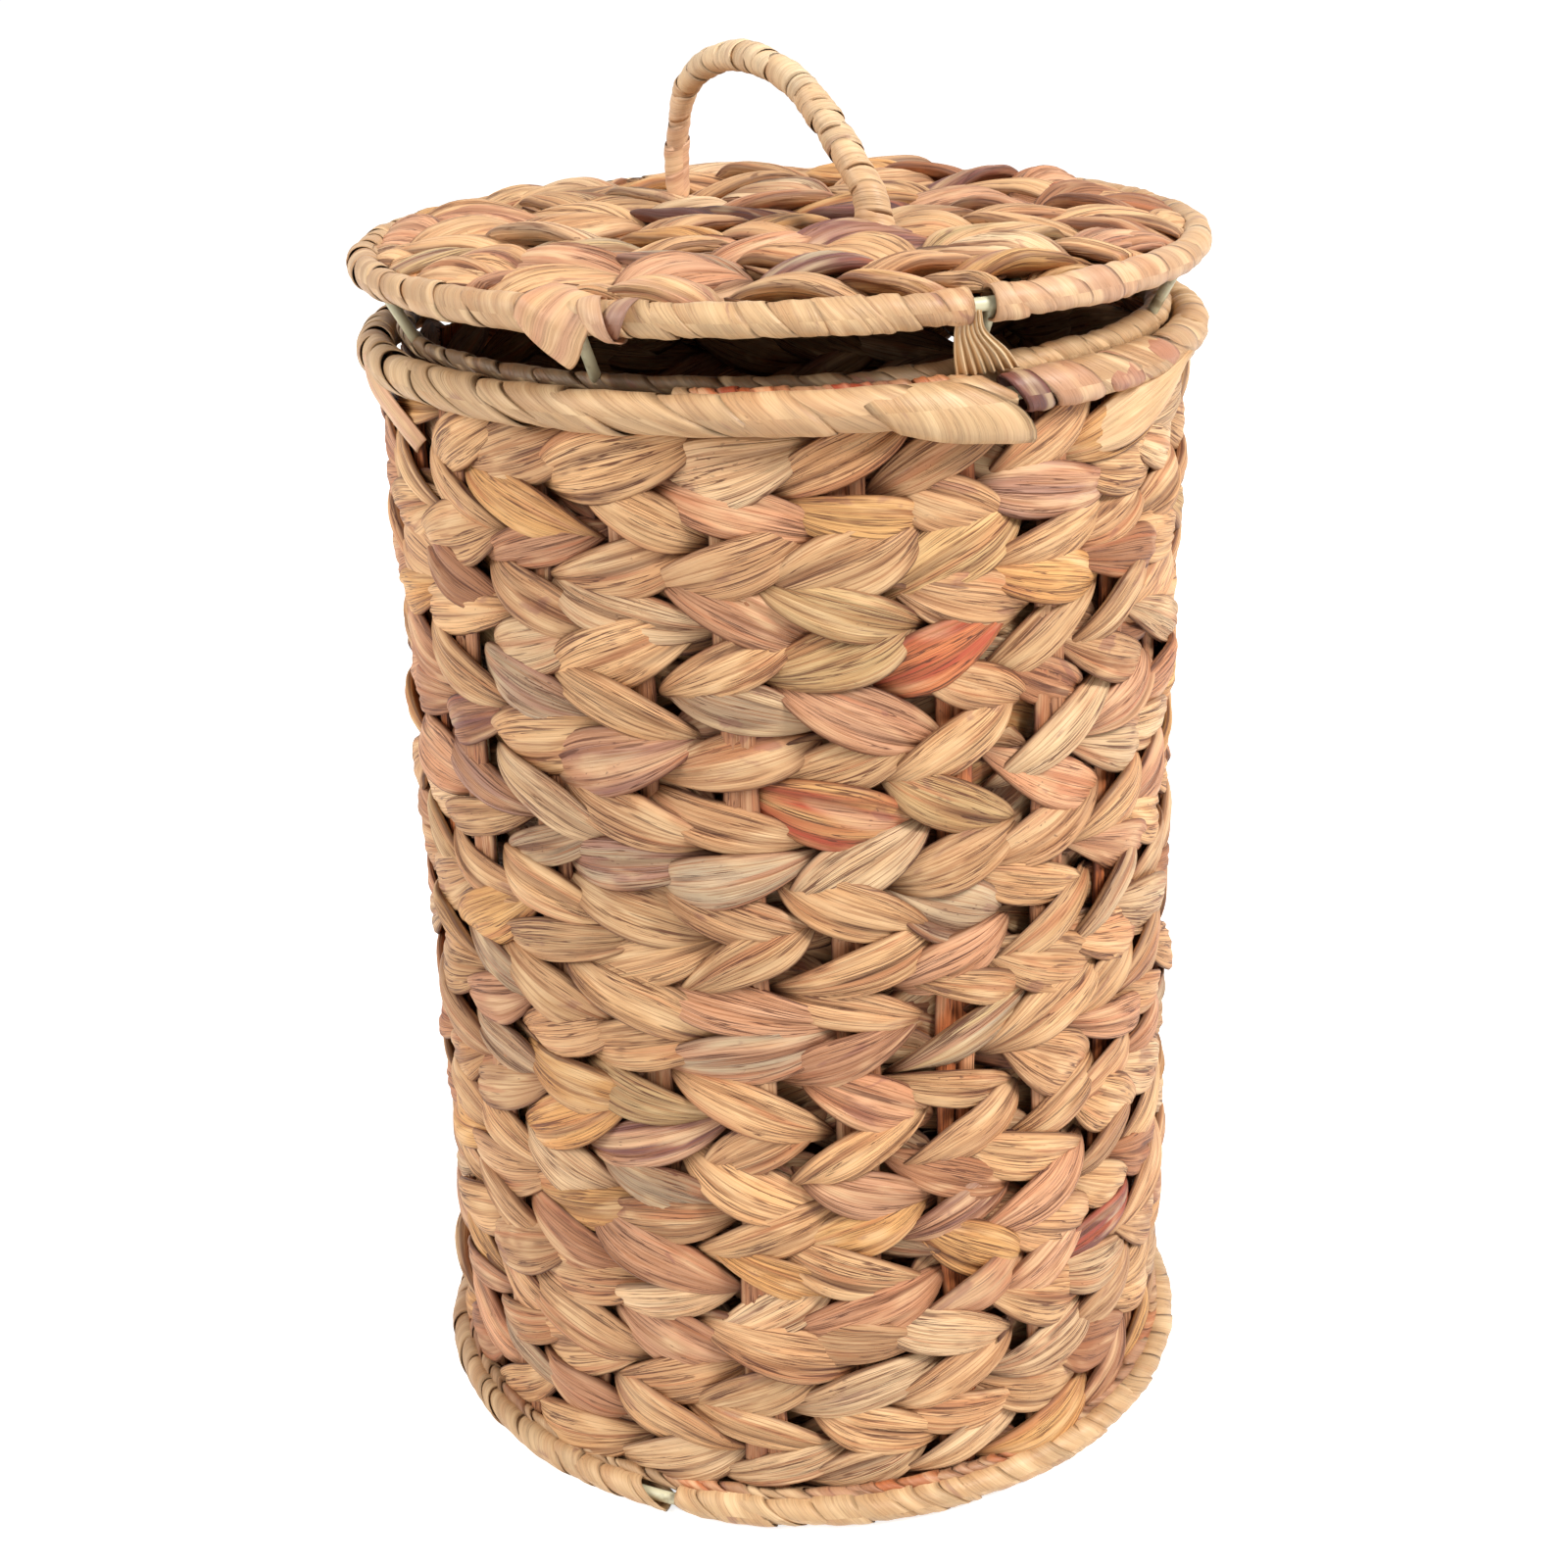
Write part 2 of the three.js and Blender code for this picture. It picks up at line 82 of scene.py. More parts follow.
class Tone(Enum):
    """Colours of dried strand, named by what they look like."""

    GOLDEN = linear(229, 190, 142)
    TAN = linear(220, 179, 134)
    PALE = linear(234, 206, 166)
    HONEY = linear(226, 180, 118)
    PINKISH = linear(222, 174, 138)
    DUSTY = linear(210, 160, 124)
    BROWN = linear(184, 134, 98)
    GREYGREEN = linear(190, 168, 138)
    OLIVE = linear(212, 182, 132)
    ORANGE = linear(217, 130, 80)
    RED = linear(182, 78, 50)
    PURPLE = linear(122, 78, 76)
    PLUM = linear(62, 34, 36)
    MAUVE = linear(178, 136, 116)
    ROSY = linear(208, 150, 118)


# How often each colour comes up in ordinary strand
COMMON_TONES = (
    (Tone.GOLDEN, 0.3),
    (Tone.TAN, 0.25),
    (Tone.PALE, 0.14),
    (Tone.HONEY, 0.08),
    (Tone.PINKISH, 0.09),
    (Tone.DUSTY, 0.06),
    (Tone.BROWN, 0.04),
    (Tone.GREYGREEN, 0.015),
    (Tone.OLIVE, 0.025),
)

# How light one strand is beside another, and the cast of them all beside their named tones
LIGHTNESS = (0.78, 1.08)
CAST = (1.03, 0.95, 0.89)

# The same for a strand's streaks beside its main colour
STREAK_LIGHTNESS = (0.78, 1.12)
STREAK_CAST = (1, 0.97, 0.93)


def draw_tones(rng: np.random.Generator, count: int) -> np.ndarray:
    """Colours drawn at random for a number of stitches or bands.

    Args:
        rng: The seeded generator.
        count: How many colours.

    Returns:
        An array of count rows of red, green and blue, each a little lighter or darker than its tone.
    """
    colours = np.array([tone.value for tone, _ in COMMON_TONES])
    chances = np.array([chance for _, chance in COMMON_TONES])
    picked = colours[rng.choice(len(colours), count, p=chances / chances.sum())]
    return picked * rng.uniform(*LIGHTNESS, (count, 1)) * np.array(CAST)


def streaks_of(tones: np.ndarray, rng: np.random.Generator) -> np.ndarray:
    """Streak colours that go with main ones: each a little darker or paler, and never the same."""
    return tones * rng.uniform(*STREAK_LIGHTNESS, (len(tones), 1)) * np.array(STREAK_CAST)


def seen_directly(tree: bpy.types.NodeTree) -> bpy.types.NodeSocket:
    """1 on rays that come from the camera, from a reflection or through something clear, else 0."""
    path = tree.nodes.new("ShaderNodeLightPath")
    seen = path.outputs["Is Camera Ray"]
    for ray in ("Is Glossy Ray", "Is Transmission Ray"):
        greater = tree.nodes.new("ShaderNodeMath")
        greater.operation = "MAXIMUM"
        tree.links.new(seen, greater.inputs[0])
        tree.links.new(path.outputs[ray], greater.inputs[1])
        seen = greater.outputs[0]
    return seen


@dataclass(frozen=True)
class Grain:
    """Noise drawn out along a strand, and the two values of it between which it comes to show."""

    across: float  # how closely it changes across the strand, per metre
    along: float
    layers: float
    warp: float
    clear: float  # the value at which nothing of it shows
    full: float  # the value at which all of it does


class Nodes:
    """A material's node tree, with short ways to add and join nodes."""

    def __init__(self, name: str) -> None:
        """Starts an empty material with a shader and an output.

        Args:
            name: The material's name.
        """
        self.material = bpy.data.materials.new(name)
        self.material.use_nodes = True
        self.tree = self.material.node_tree
        self.tree.nodes.clear()
        output = self.tree.nodes.new("ShaderNodeOutputMaterial")
        self.shader = self.tree.nodes.new("ShaderNodeBsdfPrincipled")
        self.join(self.shader.outputs["BSDF"], output.inputs["Surface"])

    def join(self, source: bpy.types.NodeSocket, target: bpy.types.NodeSocket) -> None:
        """Links an output to an input."""
        self.tree.links.new(source, target)

    def attribute(self, name: str, output: str) -> bpy.types.NodeSocket:
        """The named output of one of the mesh's attributes."""
        node = self.tree.nodes.new("ShaderNodeAttribute")
        node.attribute_name = name
        return node.outputs[output]

    def scaled(self, vector: bpy.types.NodeSocket, scale: Colour) -> bpy.types.NodeSocket:
        """A vector scaled by axis."""
        mapping = self.tree.nodes.new("ShaderNodeMapping")
        mapping.inputs["Scale"].default_value = scale
        self.join(vector, mapping.inputs["Vector"])
        return mapping.outputs["Vector"]

    def noise(self, vector: bpy.types.NodeSocket, layers: float, warp: float) -> bpy.types.NodeSocket:
        """Noise on a vector that is already scaled.

        Args:
            vector: Where the noise is read.
            layers: How many finer layers it has.
            warp: How far it is warped.

        Returns:
            The noise's factor, about 0.5 in the middle.
        """
        node = self.tree.nodes.new("ShaderNodeTexNoise")
        node.inputs["Scale"].default_value = 1
        node.inputs["Detail"].default_value = layers
        node.inputs["Distortion"].default_value = warp
        self.join(vector, node.inputs["Vector"])
        return node.outputs["Fac"]

    def grain(self, grain: Grain, coarseness: float = 1) -> bpy.types.NodeSocket:
        """Noise on the piece's UV map, which runs across and along the strand in metres.

        Args:
            grain: How it is drawn out.
            coarseness: How many times as far apart its lines are.

        Returns:
            The noise's factor.
        """
        uv = self.tree.nodes.new("ShaderNodeUVMap")
        uv.uv_map = "strand"
        vector = self.scaled(uv.outputs["UV"], (grain.across / coarseness, grain.along, 1))
        return self.noise(vector, grain.layers, grain.warp)

    def ranged(self, value: bpy.types.NodeSocket, clear: float, full: float) -> bpy.types.NodeSocket:
        """A value eased from 0 at clear to 1 at full."""
        node = self.tree.nodes.new("ShaderNodeMapRange")
        node.interpolation_type = "SMOOTHSTEP"
        node.inputs["From Min"].default_value = clear
        node.inputs["From Max"].default_value = full
        self.join(value, node.inputs["Value"])
        return node.outputs["Result"]

    def maths(self, operation: str, first: bpy.types.NodeSocket, second: object = 0) -> bpy.types.NodeSocket:
        """A sum on a value and a second value or number.

        Args:
            operation: The Math node's operation.
            first: A value.
            second: A value or a number, which an operation on one value doesn't read.

        Returns:
            The result.
        """
        node = self.tree.nodes.new("ShaderNodeMath")
        node.operation = operation
        self.join(first, node.inputs[0])
        if isinstance(second, bpy.types.NodeSocket):
            self.join(second, node.inputs[1])
        else:
            node.inputs[1].default_value = second
        return node.outputs[0]

    def mixed(self, kind: str, share: object, base: object, over: object) -> bpy.types.NodeSocket:
        """Two colours mixed.

        Args:
            kind: The blend type, such as MIX or MULTIPLY.
            share: How much of the second, a value or a number.
            base: The first colour, an output or three numbers.
            over: The second one, the same.

        Returns:
            The mixed colour.
        """
        node = self.tree.nodes.new("ShaderNodeMix")
        node.data_type = "RGBA"
        node.blend_type = kind
        for socket, value in ((node.inputs[0], share), (node.inputs[6], base), (node.inputs[7], over)):
            if isinstance(value, bpy.types.NodeSocket):
                self.join(value, socket)
            elif isinstance(value, tuple):
                socket.default_value = (*value, 1)
            else:
                socket.default_value = value
        return node.outputs[2]

    def laid(
        self, share: float, value: bpy.types.NodeSocket, base: bpy.types.NodeSocket, over: object
    ) -> bpy.types.NodeSocket:
        """A colour laid over another where a value is high, up to a share of it."""
        return self.mixed("MIX", self.maths("MULTIPLY", value, share), base, over)

    def bump(self, height: bpy.types.NodeSocket, distance: float, strength: float) -> None:
        """Sets the shader's normal from a height.

        Args:
            height: The height, 0 to 1.
            distance: How far 1 stands out, in metres.
            strength: How much of it shows.
        """
        node = self.tree.nodes.new("ShaderNodeBump")
        node.inputs["Distance"].default_value = distance
        node.inputs["Strength"].default_value = strength
        self.join(height, node.inputs["Height"])
        self.join(node.outputs["Normal"], self.shader.inputs["Normal"])


@dataclass(frozen=True)
class StrandFinish:
    """Dried plant strand: a colour from the mesh, fine wavy grooves along it, creases and specks."""

    name: str
    groove: Colour = linear(146, 88, 46)
    thread: Colour = linear(92, 46, 22)
    rust: Colour = linear(178, 96, 54)
    # Dark of the creases and specks, also laid as painted dark shade on edges, folds and tips
    crease_and_shade: Colour = linear(72, 30, 13)
    # Warm brown laid by the mesh's shade: partly the strand's own colour, partly painted shade in crevices
    stain_and_shade: Colour = linear(166, 96, 50)
    blotch: Colour = linear(128, 72, 70)
    bleached: Colour = linear(246, 214, 166)
    tanned: Colour = (0.9, 0.78, 0.68)  # what tanned patches keep of each channel
    hair: Colour = (0.8, 0.7, 0.62)  # the same under hairs
    tan_share: float = 0.75
    bleach_share: float = 0.45
    groove_share: float = 0.5
    rust_share: float = 0.5
    blotch_share: float = 0.45
    crease_share: float = 0.62
    speck_share: float = 0.6
    stain_and_shade_share: float = 0.55
    edge_shade_share: float = 0.88
    hair_share: float = 0.62
    thread_share: float = 0.9
    coarseness: float = 1.0  # how far apart its lines are
    roughness: float = 0.6
    specular: float = 0.4
    relief: float = 0.45 * MM
    groove_relief_share: float = 0.7
    hair_relief_share: float = 0.25
    thread_relief_share: float = 0.35
    groove_grain: Grain = Grain(1500, 30, 3, 0.5, clear=0.47, full=0.42)
    crease_grain: Grain = Grain(480, 15, 3, 1.3, clear=0.355, full=0.32)
    thread_grain: Grain = Grain(620, 15, 3, 1.2, clear=0.03, full=0.012)
    speck_grain: Grain = Grain(1100, 420, 2, 0.4, clear=0.64, full=0.72)
    patch_grain: Grain = Grain(75, 26, 2, 0.5, clear=0.4, full=0.7)
    cloud_grain: Grain = Grain(140, 34, 2, 0.5, clear=0.5, full=0.7)
    hair_grain: Grain = Grain(3800, 60, 2, 0.2, clear=0.62, full=0.34)
    rust_grain: Grain = Grain(190, 11, 3, 1.0, clear=0.55, full=0.68)
    blotch_grain: Grain = Grain(95, 38, 4, 0.8, clear=0.64, full=0.7)
    speckled: tuple[float, float] = (0.5, 0.66)  # the patches' values between which specks come in
    threaded: tuple[float, float] = (0.6, 0.42)  # the clouds' values between which threads do

    def material(self) -> bpy.types.Material:
        """Builds the material.

        Long noise, a millimetre across and far longer along, gives the grooves. A slower, darker one gives
        creases, and the places where a third crosses its middle value are threads. Slow noise bleaches and
        tans patches. Grooves, creases, hairs and threads also shape the bump. The mesh's shade lays a warm
        brown on tips, rims and folds, partly the strand's own colour and partly painted shade, and the fourth
        channel of its tone lays painted dark shade on edges and into hollows.

        Returns:
            The material.
        """
        nodes = Nodes(self.name)
        fine = nodes.grain(self.groove_grain, self.coarseness)
        broad = nodes.grain(self.crease_grain, self.coarseness)
        off_middle = nodes.maths("SUBTRACT", nodes.grain(self.thread_grain, self.coarseness), 0.5)
        patch, cloud = nodes.grain(self.patch_grain), nodes.grain(self.cloud_grain)
        hair = nodes.grain(self.hair_grain)

        def shown(value: bpy.types.NodeSocket, grain: Grain) -> bpy.types.NodeSocket:
            """How much of a grain shows."""
            return nodes.ranged(value, grain.clear, grain.full)

        thread = shown(nodes.maths("ABSOLUTE", off_middle), self.thread_grain)
        thread = nodes.maths("MULTIPLY", thread, nodes.ranged(cloud, *self.threaded))
        speck = shown(nodes.grain(self.speck_grain), self.speck_grain)
        speck = nodes.maths("MULTIPLY", speck, nodes.ranged(patch, *self.speckled))
        tone = nodes.attribute("tone", "Color")
        darker = nodes.mixed("MULTIPLY", 1.0, tone, self.tanned)
        colour = nodes.laid(self.tan_share, shown(patch, self.patch_grain), tone, darker)
        colour = nodes.laid(self.bleach_share, shown(cloud, self.cloud_grain), colour, self.bleached)
        hairs = nodes.maths("MULTIPLY", shown(hair, self.hair_grain), self.hair_share)
        colour = nodes.mixed("MULTIPLY", hairs, colour, self.hair)
        rust = shown(nodes.grain(self.rust_grain), self.rust_grain)
        colour = nodes.laid(self.rust_share, rust, colour, self.rust)
        blotch = shown(nodes.grain(self.blotch_grain), self.blotch_grain)
        colour = nodes.laid(self.blotch_share, blotch, colour, self.blotch)
        # Warm brown where the mesh's shade is high: partly the strand's own colour, partly painted shade
        colour = nodes.laid(self.stain_and_shade_share, nodes.attribute("shade", "Fac"), colour, self.stain_and_shade)
        colour = nodes.laid(self.groove_share, shown(fine, self.groove_grain), colour, self.groove)
        colour = nodes.laid(self.crease_share, shown(broad, self.crease_grain), colour, self.crease_and_shade)
        colour = nodes.laid(self.thread_share, thread, colour, self.thread)
        colour = nodes.laid(self.speck_share, speck, colour, self.crease_and_shade)
        # Painted dark shade at edges, folds and tips, from the tone's fourth channel
        colour = nodes.laid(self.edge_shade_share, nodes.attribute("tone", "Alpha"), colour, self.crease_and_shade)
        nodes.join(colour, nodes.shader.inputs["Base Color"])
        height = nodes.maths("ADD", nodes.maths("MULTIPLY", fine, self.groove_relief_share), broad)
        height = nodes.maths("ADD", height, nodes.maths("MULTIPLY", hair, self.hair_relief_share))
        height = nodes.maths("SUBTRACT", height, nodes.maths("MULTIPLY", thread, self.thread_relief_share))
        nodes.bump(height, self.relief, 1.0)
        nodes.shader.inputs["Roughness"].default_value = self.roughness
        nodes.shader.inputs["Specular IOR Level"].default_value = self.specular
        return nodes.material


@dataclass(frozen=True)
class WireFinish:
    """Painted steel wire: pale, slightly greenish, smooth with a few rubs."""

    name: str = "painted_wire"
    paint: Colour = linear(206, 200, 166)
    rub: Colour = linear(150, 136, 104)
    rub_scale: float = 160
    rub_layers: float = 4
    rubbed: tuple[float, float] = (0.52, 0.7)  # the noise's values between which rubs come in
    roughness: float = 0.42
    relief: float = 0.1 * MM
    relief_share: float = 0.4

    def material(self) -> bpy.types.Material:
        """Builds the material: paint with darker rubs where slow noise is high."""
        nodes = Nodes(self.name)
        place = nodes.tree.nodes.new("ShaderNodeTexCoord").outputs["Object"]
        noise = nodes.noise(nodes.scaled(place, (self.rub_scale,) * 3), self.rub_layers, 0)
        colour = nodes.mixed("MIX", nodes.ranged(noise, *self.rubbed), self.paint, self.rub)
        nodes.join(colour, nodes.shader.inputs["Base Color"])
        nodes.bump(noise, self.relief, self.relief_share)
        nodes.shader.inputs["Roughness"].default_value = self.roughness
        return nodes.material


@dataclass(frozen=True)
class FloorFinish:
    """Pale studio floor: matt, white to the camera, and darker where the object shades it."""

    name: str = "studio_floor"
    colour: Colour = (0.86, 0.86, 0.86)
    glow: float = 0.77

    def material(self) -> bpy.types.Material:
        """Builds the material: matt white, to which the camera and reflections add a little light."""
        nodes = Nodes(self.name)
        nodes.shader.inputs["Base Color"].default_value = (*self.colour, 1)
        nodes.shader.inputs["Roughness"].default_value = 1
        nodes.shader.inputs["Specular IOR Level"].default_value = 0
        nodes.shader.inputs["Emission Color"].default_value = (1, 1, 1, 1)
        glow = nodes.maths("MULTIPLY", seen_directly(nodes.tree), self.glow)
        nodes.join(glow, nodes.shader.inputs["Emission Strength"])
        return nodes.material


@dataclass
class Shells:
    """Closed shells on grids: each is rings of points, closed round the ring."""

    points: np.ndarray  # (shells, rings, sides, 3)
    across: np.ndarray  # UV across, (shells, rings + 1, sides + 1)
    along: np.ndarray  # UV along, the same
    tone: np.ndarray  # colour, (shells, rings, sides, 3)
    shade: np.ndarray  # stain and painted warm shade, 0 to 1, (shells, rings, sides)
    edge: np.ndarray  # painted dark shade at edges and in hollows, the same
    looped: bool = True  # whether the last ring joins the first, or both ends are capped

    def faces(self) -> tuple[np.ndarray, np.ndarray, np.ndarray]:
        """Four-sided faces between neighbouring points, turned outwards.

        A shell's volume is the sum of the signed volumes between the origin and its triangles. Where it
        is negative, the order of each face's corners is reversed.

        Returns:
            The faces' vertex indices, their UVs, and the caps' vertex indices.
        """
        shells, rings, sides, _ = self.points.shape
        index = np.arange(shells * rings * sides).reshape(shells, rings, sides)
        i, j = np.meshgrid(np.arange(rings if self.looped else rings - 1), np.arange(sides), indexing="ij")
        corners = ((i, j), (i + 1, j), (i + 1, j + 1), (i, j + 1))
        quads = np.stack([index[:, a % rings, b % sides] for a, b in corners], axis=-1)
        uv = np.stack([np.stack([self.across[:, a, b], self.along[:, a, b]], -1) for a, b in corners], -2)
        flat = self.points.reshape(-1, 3)
        a, b, c, d = (flat[quads[..., k]] for k in range(4))
        volume = (a * (np.cross(b, c) + np.cross(c, d))).sum(axis=(1, 2, 3))
        caps = np.stack([index[:, 0], index[:, -1, ::-1]], axis=1)
        inward = volume < 0
        quads[inward] = quads[inward][..., ::-1]
        uv[inward] = uv[inward][..., ::-1, :]
        caps[inward] = caps[inward][..., ::-1]
        return quads.reshape(-1, 4), uv.reshape(-1, 4, 2), caps.reshape(-1, sides)

    def mesh(self, name: str) -> bpy.types.Mesh:
        """Puts the shells into one mesh with a UV map named strand and the attributes tone and shade.

        Args:
            name: The mesh's name.

        Returns:
            The mesh.
        """
        quads, uv, caps = self.faces()
        sides = self.points.shape[2]
        if self.looped:
            caps = caps[:0]
        corners = np.concatenate([quads.ravel(), caps.ravel()])
        starts = np.concatenate([np.arange(len(quads)) * 4, quads.size + np.arange(len(caps)) * sides])
        mesh = bpy.data.meshes.new(name)
        mesh.vertices.add(self.points.size // 3)
        mesh.vertices.foreach_set("co", self.points.ravel().astype(np.float32))
        mesh.loops.add(len(corners))
        mesh.loops.foreach_set("vertex_index", corners.astype(np.int32))
        mesh.polygons.add(len(starts))
        mesh.polygons.foreach_set("loop_start", starts.astype(np.int32))
        mesh.update(calc_edges=True)
        mesh.shade_smooth()
        layer = mesh.uv_layers.new(name="strand")
        ends = np.zeros(2 * len(corners), np.float32)
        ends[: uv.size] = uv.ravel()
        layer.data.foreach_set("uv", ends)
        # The tone's fourth channel carries the painted dark shade.
        colour = np.concatenate([self.tone, self.edge[..., None]], axis=-1)
        tone = mesh.attributes.new("tone", "FLOAT_COLOR", "POINT")
        tone.data.foreach_set("color", colour.ravel().astype(np.float32))
        shade = mesh.attributes.new("shade", "FLOAT", "POINT")
        shade.data.foreach_set("value", self.shade.ravel().astype(np.float32))
        return mesh


def joined(parts: Sequence[bpy.types.Mesh], name: str) -> bpy.types.Mesh:
    """One mesh out of several that have the same layers.

    Args:
        parts: The meshes, which are used up.
        name: The new mesh's name.

    Returns:
        The joined mesh.
    """
    objects = [bpy.data.objects.new(part.name, part) for part in parts]
    for obj in objects:
        bpy.context.scene.collection.objects.link(obj)
    with bpy.context.temp_override(active_object=objects[0], selected_editable_objects=objects):
        bpy.ops.object.join()
    whole = objects[0].data
    bpy.data.objects.remove(objects[0])
    whole.name = name
    return whole


def place_piece(
    mesh: bpy.types.Mesh, body: str, finish: bpy.types.Material, replaced: Sequence[str] = ()
) -> bpy.types.Object:
    """Adds a finished mesh to the scene as a piece of the object.

    Args:
        mesh: The mesh, with its place in it.
        body: The body it rides on.
        finish: Its material.
        replaced: The frame's nodes that it stands for.

    Returns:
        The piece.
    """
    obj = bpy.data.objects.new(mesh.name, mesh)
    bpy.context.scene.collection.objects.link(obj)
    mesh.materials.append(finish)
    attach(obj, body)
    if replaced:
        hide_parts(*replaced)
    LOG.info("%s: %d faces, on %s", obj.name, len(mesh.polygons), body)
    return obj


def cubic_through(stops: np.ndarray, steps: int) -> np.ndarray:
    """Rows of values on a smooth curve through given rows.

    Between two stops it is the Catmull-Rom cubic, and beyond each end lies the neighbour's mirror image.

    Args:
        stops: The given rows.
        steps: How many rows to make, evenly shared out over the stops.

    Returns:
        The rows of values.
    """
    ends = np.vstack([2 * stops[0] - stops[1], stops, 2 * stops[-1] - stops[-2]])
    t = np.linspace(0, len(stops) - 1, steps)
    k = np.minimum(t.astype(int), len(stops) - 2)
    f = (t - k)[:, None]
    p0, p1, p2, p3 = (ends[k + n] for n in range(4))
    bend = (2 * p0 - 5 * p1 + 4 * p2 - p3) * f**2 + (3 * p1 - p0 - 3 * p2 + p3) * f**3
    return 0.5 * (2 * p1 + (p2 - p0) * f + bend)


def distances(points: np.ndarray) -> np.ndarray:
    """How far along a line of points each one is."""
    return np.concatenate([[0], np.cumsum(np.linalg.norm(np.diff(points, axis=0), axis=1))])


@dataclass(frozen=True)
class RingPath:
    """A level circle: distances along it start at an angle from the front, positive to the right."""

    radius: float
    height: float
    start: float = 0.0
    closed: bool = True

    @classmethod
    def of_node(cls, node: str) -> tuple[RingPath, float]:
        """The path of a wound ring of the frame, and its tube's radius across the flats."""
        low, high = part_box(node)
        tube = (high[2] - low[2]) / 2
        return cls((high[0] - low[0]) / 2 - tube, (high[2] + low[2]) / 2), tube

    @property
    def length(self) -> float:
        """The way round."""
        return TURN * self.radius

    def at(self, distance: np.ndarray) -> tuple[np.ndarray, np.ndarray, np.ndarray]:
        """Points on the path, and two directions square to it: outwards from the middle, and up.

        Args:
            distance: Distances along the path.

        Returns:
            The points, the outward directions and the upward ones.
        """
        angle = self.start + distance / self.radius
        outward = np.stack([np.sin(angle), -np.cos(angle), np.zeros_like(angle)], axis=-1)
        up = np.zeros_like(outward)
        up[..., 2] = 1
        return self.radius * outward + self.height * up, outward, up


@dataclass(frozen=True)
class RowPath:
    """A level row of a round panel, bowed a little after its edge. Its outward direction is up."""

    side: float  # its place from front to back, where it crosses the middle
    height: float
    radius: float  # of the panel
    bow: float
    sink: float  # how far the panel's edge lies under its middle
    sink_power: int = 4  # how late it sinks, as a power of the squared distance from the middle
    closed: bool = False

    @property
    def sag(self) -> float:
        """How strongly it bows: more, the nearer it is to the panel's edge."""
        return self.bow * (self.side / self.radius) ** 2

    @property
    def half(self) -> float:
        """From the middle to the end, where the bowed row meets the panel's edge."""
        kept = 1 - self.sag * (self.side / self.radius) ** 2
        return math.sqrt((self.radius**2 - self.side**2) / kept)

    def at(self, distance: np.ndarray) -> tuple[np.ndarray, np.ndarray, np.ndarray]:
        """Points on the path, with the upward and the backward direction.

        Args:
            distance: Distances along X from the middle.

        Returns:
            The points, the upward directions and the backward ones.
        """
        zero = np.zeros_like(distance)
        nearer = np.sqrt(1 - self.sag * (distance / self.radius) ** 2)
        out = (distance**2 + (self.side * nearer) ** 2) / self.radius**2
        height = self.height - self.sink * out**self.sink_power
        points = np.stack([distance, self.side * nearer, height], axis=-1)
        slope = -self.side * self.sag * distance / (self.radius**2 * nearer)
        up = np.stack([zero, zero, zero + 1], axis=-1)
        back = np.stack([-slope, zero + 1, zero], axis=-1)
        return points, up, back / np.linalg.norm(back, axis=-1, keepdims=True)


@dataclass(frozen=True)
class CurvePath:
    """A smooth curve through given points, with directions that lean as little as they can."""

    stops: tuple[tuple[float, float, float], ...]
    closed: bool = False
    steps: int = 400

    def _table(self) -> tuple[np.ndarray, np.ndarray, np.ndarray, np.ndarray]:
        """The curve as a fine table: distances, points and two directions square to it.

        The sideways direction is square to the tangent and to the curve's own overall plane.

        Returns:
            Distances, points, outward directions and side directions.
        """
        stops = np.array(self.stops)
        points = cubic_through(stops, self.steps)
        way = np.gradient(points, axis=0)
        way /= np.linalg.norm(way, axis=1)[:, None]
        plane = np.cross(stops[-1] - stops[0], stops[len(stops) // 2] - stops[0])
        side = plane - (plane * way).sum(axis=1)[:, None] * way
        side /= np.linalg.norm(side, axis=1)[:, None]
        return distances(points), points, np.cross(way, side), side

    @property
    def length(self) -> float:
        """From end to end along the curve."""
        return float(self._table()[0][-1])

    def at(self, distance: np.ndarray) -> tuple[np.ndarray, np.ndarray, np.ndarray]:
        """Points on the curve and two directions square to it.

        Args:
            distance: Distances along the curve.

        Returns:
            The points, the outward directions and the side directions.
        """
        table, *columns = self._table()
        return tuple(
            np.stack([np.interp(distance, table, column[:, n]) for n in range(3)], axis=-1)
            for column in columns
        )


@dataclass(frozen=True)
class Section:
    """A strand's section: a lens with a full outer face and crisp edges."""

    sides: int = 26
    fullness: float = 0.7
    middle_share: float = 0.6  # how even the points are, the rest crowds them towards the edges

    def outline(self) -> tuple[np.ndarray, np.ndarray, np.ndarray]:
        """Points round the section.

        Across runs from -1 to 1 on the outer face and back on the inner one. The height is one less the
        square of that, to the power of the fullness, positive outside.

        Returns:
            The places across, the heights, and the way round from the first edge.
        """
        half = self.sides // 2
        even = np.linspace(-1, 1, half + 1)
        spread = self.middle_share * even + (1 - self.middle_share) * np.sin(math.pi / 2 * even)
        across = np.concatenate([spread, spread[-2:0:-1]])
        height = np.maximum(1 - across**2, 0) ** self.fullness
        height[half + 1 :] *= -1
        way = np.concatenate([1 + spread, 3 - spread[-2:0:-1], [4]])
        return across, height, way


